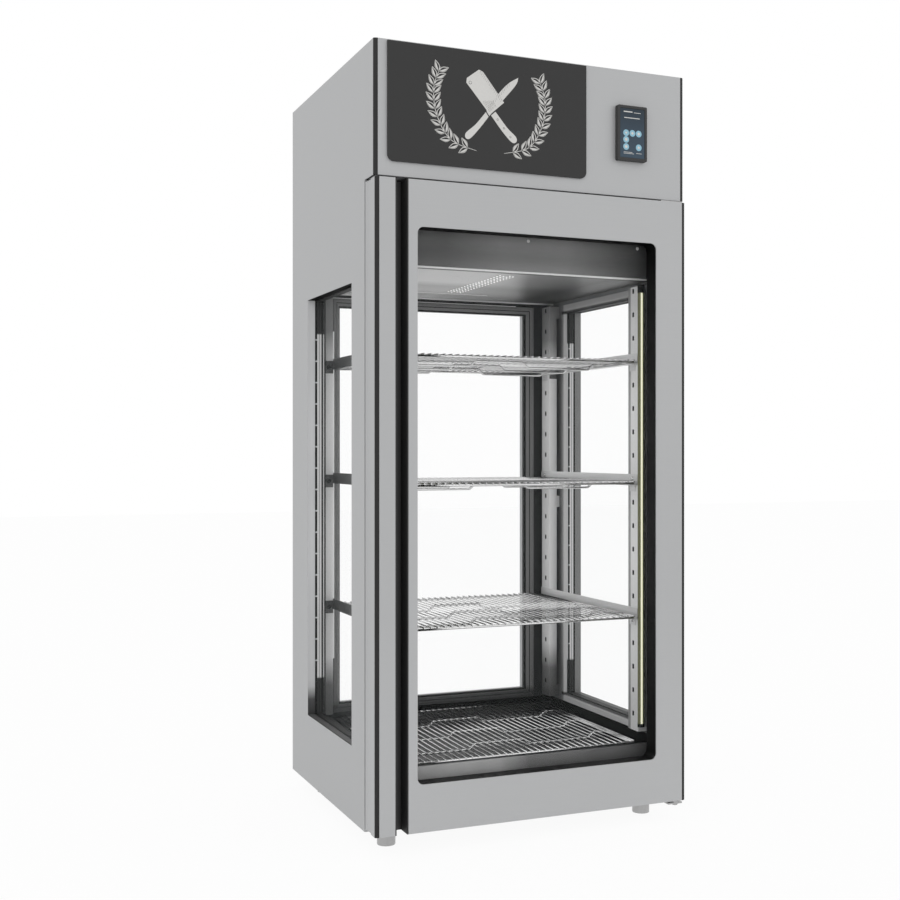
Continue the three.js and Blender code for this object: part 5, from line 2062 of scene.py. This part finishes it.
@dataclass
class Studio:
    """A pale floor, soft lamps and the camera at the photograph's place.

    Attributes:
        camera_place: Where the camera stands.
        camera_yaw: Its turn to the right, in degrees.
        lens: Its focal length in millimetres.
        world_level: The plain light from all round.
        floor_white: How far the floor shows plain white to the camera.
        floor_reach: Half the floor's width.
        floor_cells: Speckles per metre of floor.
        sensor: The width of the camera's sensor in millimetres.
        aim: What the lamps point at.
        lamp_size: The width of a lamp.
        lamps: Each lamp's name, place and power.
    """

    camera_place: Point = (-1.2198, -2.7663, 0.8465)
    camera_yaw: float = 22.46
    lens: float = 50.17
    world_level: float = 0.8
    floor_white: float = 0.94
    floor_reach: float = 14.0
    floor_cells: float = 40.0
    sensor: float = 36.0
    aim: Point = (0, 0, 0.85)
    lamp_size: float = 2.6
    lamps: tuple[tuple[str, Point, float], ...] = (
        ("key_lamp", (-2.6, -3.2, 3.4), 18),
        ("fill_lamp", (3.2, -2.4, 2.2), 8),
    )

    @staticmethod
    def _seen(shader: Shader) -> Value:
        """Tells the rays that show the background: straight, in metal or through glass.

        Args:
            shader: The shader that it is for.

        Returns:
            1 for such a ray, else 0.
        """
        path = shader.node("ShaderNodeLightPath").outputs
        kinds = ("Is Camera Ray", "Is Glossy Ray", "Is Transmission Ray")
        straight, shine, through = (Value(shader, path[kind]) for kind in kinds)
        return straight.at_least(shine).at_least(through)

    def _world(self) -> None:
        """Lights the scene evenly and shows white behind it."""
        world = bpy.data.worlds.new("pale_surround")
        bpy.context.scene.world = world
        shader = Shader(world)
        seen = self._seen(shader)
        strength = seen * (1 - self.world_level) + self.world_level
        inputs = {"Color": (1, 1, 1, 1), "Strength": strength}
        light = shader.node("ShaderNodeBackground", inputs=inputs)
        shader.node("ShaderNodeOutputWorld", inputs={"Surface": light.outputs[0]})

    def _floor(self) -> None:
        """Makes the floor, white with the cabinet's soft shadow."""
        shader = Shader(bpy.data.materials.new("pale_floor"))
        seen = self._seen(shader)
        speckle = shader.noise(self.floor_cells)
        color = shader.blend(speckle, rgb(246), rgb(250))
        plain = shader.node("ShaderNodeBsdfDiffuse", inputs={"Color": color}).outputs[0]
        white = shader.node("ShaderNodeEmission", inputs={"Color": (1, 1, 1, 1), "Strength": 1.0})
        inputs = {0: seen * self.floor_white, 1: plain, 2: white.outputs[0]}
        material = shader.output(shader.node("ShaderNodeMixShader", inputs=inputs).outputs[0])
        reach = self.floor_reach
        mesh = bpy.data.meshes.new("studio_floor")
        corners = [(-reach, -reach, 0), (reach, -reach, 0), (reach, reach, 0), (-reach, reach, 0)]
        mesh.from_pydata(corners, [], [(0, 1, 2, 3)])
        mesh.materials.append(material)
        floor = bpy.data.objects.new("studio_floor", mesh)
        bpy.context.scene.collection.objects.link(floor)
        floor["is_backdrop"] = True

    def _lamp(self, name: str, place: Point, power: float) -> None:
        """Adds one soft area lamp.

        Args:
            name: The lamp's name.
            place: Where it stands.
            power: Its power in watts.
        """
        light = bpy.data.lights.new(name, "AREA")
        light.size = self.lamp_size
        light.energy = power
        lamp = bpy.data.objects.new(name, light)
        lamp.location = place
        aim = Vector(self.aim) - Vector(place)
        lamp.rotation_euler = aim.to_track_quat("-Z", "Y").to_euler()
        bpy.context.scene.collection.objects.link(lamp)

    def _camera(self) -> None:
        """Sets the camera."""
        lens = bpy.data.cameras.new("view")
        lens.lens = self.lens
        lens.sensor_width = self.sensor
        lens.sensor_fit = "HORIZONTAL"
        camera = bpy.data.objects.new("view", lens)
        camera.location = self.camera_place
        camera.rotation_euler = (math.pi / 2, 0, -math.radians(self.camera_yaw))
        bpy.context.scene.collection.objects.link(camera)
        bpy.context.scene.camera = camera

    def build(self) -> None:
        """Sets up the view, the light and the floor."""
        bpy.context.scene.view_settings.view_transform = "Standard"
        self._camera()
        self._world()
        self._floor()
        for lamp in self.lamps:
            self._lamp(*lamp)


def main() -> None:
    """Builds the cabinet's looks in order."""
    logging.basicConfig(level=logging.INFO, format="%(message)s")
    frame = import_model()
    cad_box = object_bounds()
    repeater = Repeater()
    Studio().build()
    Carcass(frame).dress()
    for level, place in enumerate(("lower", "second", "third", "top"), 1):
        WireShelf(node=f"shelf_{level}", body=f"{place}_shelf").build(repeater)
    for side in Side:
        LampBar(side=side).build()
        for level in RUNNER_LEVELS:
            runner = f"shelf_{level}_runner_{side.hand}"
            RunnerKnobs(node=runner, side=side).build()
            RunnerBracket(node=runner, side=side).build()
        for where in ("front", "back"):
            SlotBacking(node=f"{where}_{side.hand}_upright").build()
    for wall in Wall:
        Window(wall=wall).build(repeater)
    AirBand().build(repeater)
    Lips().build()
    BrightEdges().build()
    Skirting().build()
    DisplayPanel().build()
    Engraving().build()
    BeamScrews().build(repeater)
    boxes = {"cad": cad_box, "visual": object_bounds()}
    {key: [list(corner) for corner in box] for key, box in boxes.items()}


if __name__ == "__main__":
    main()
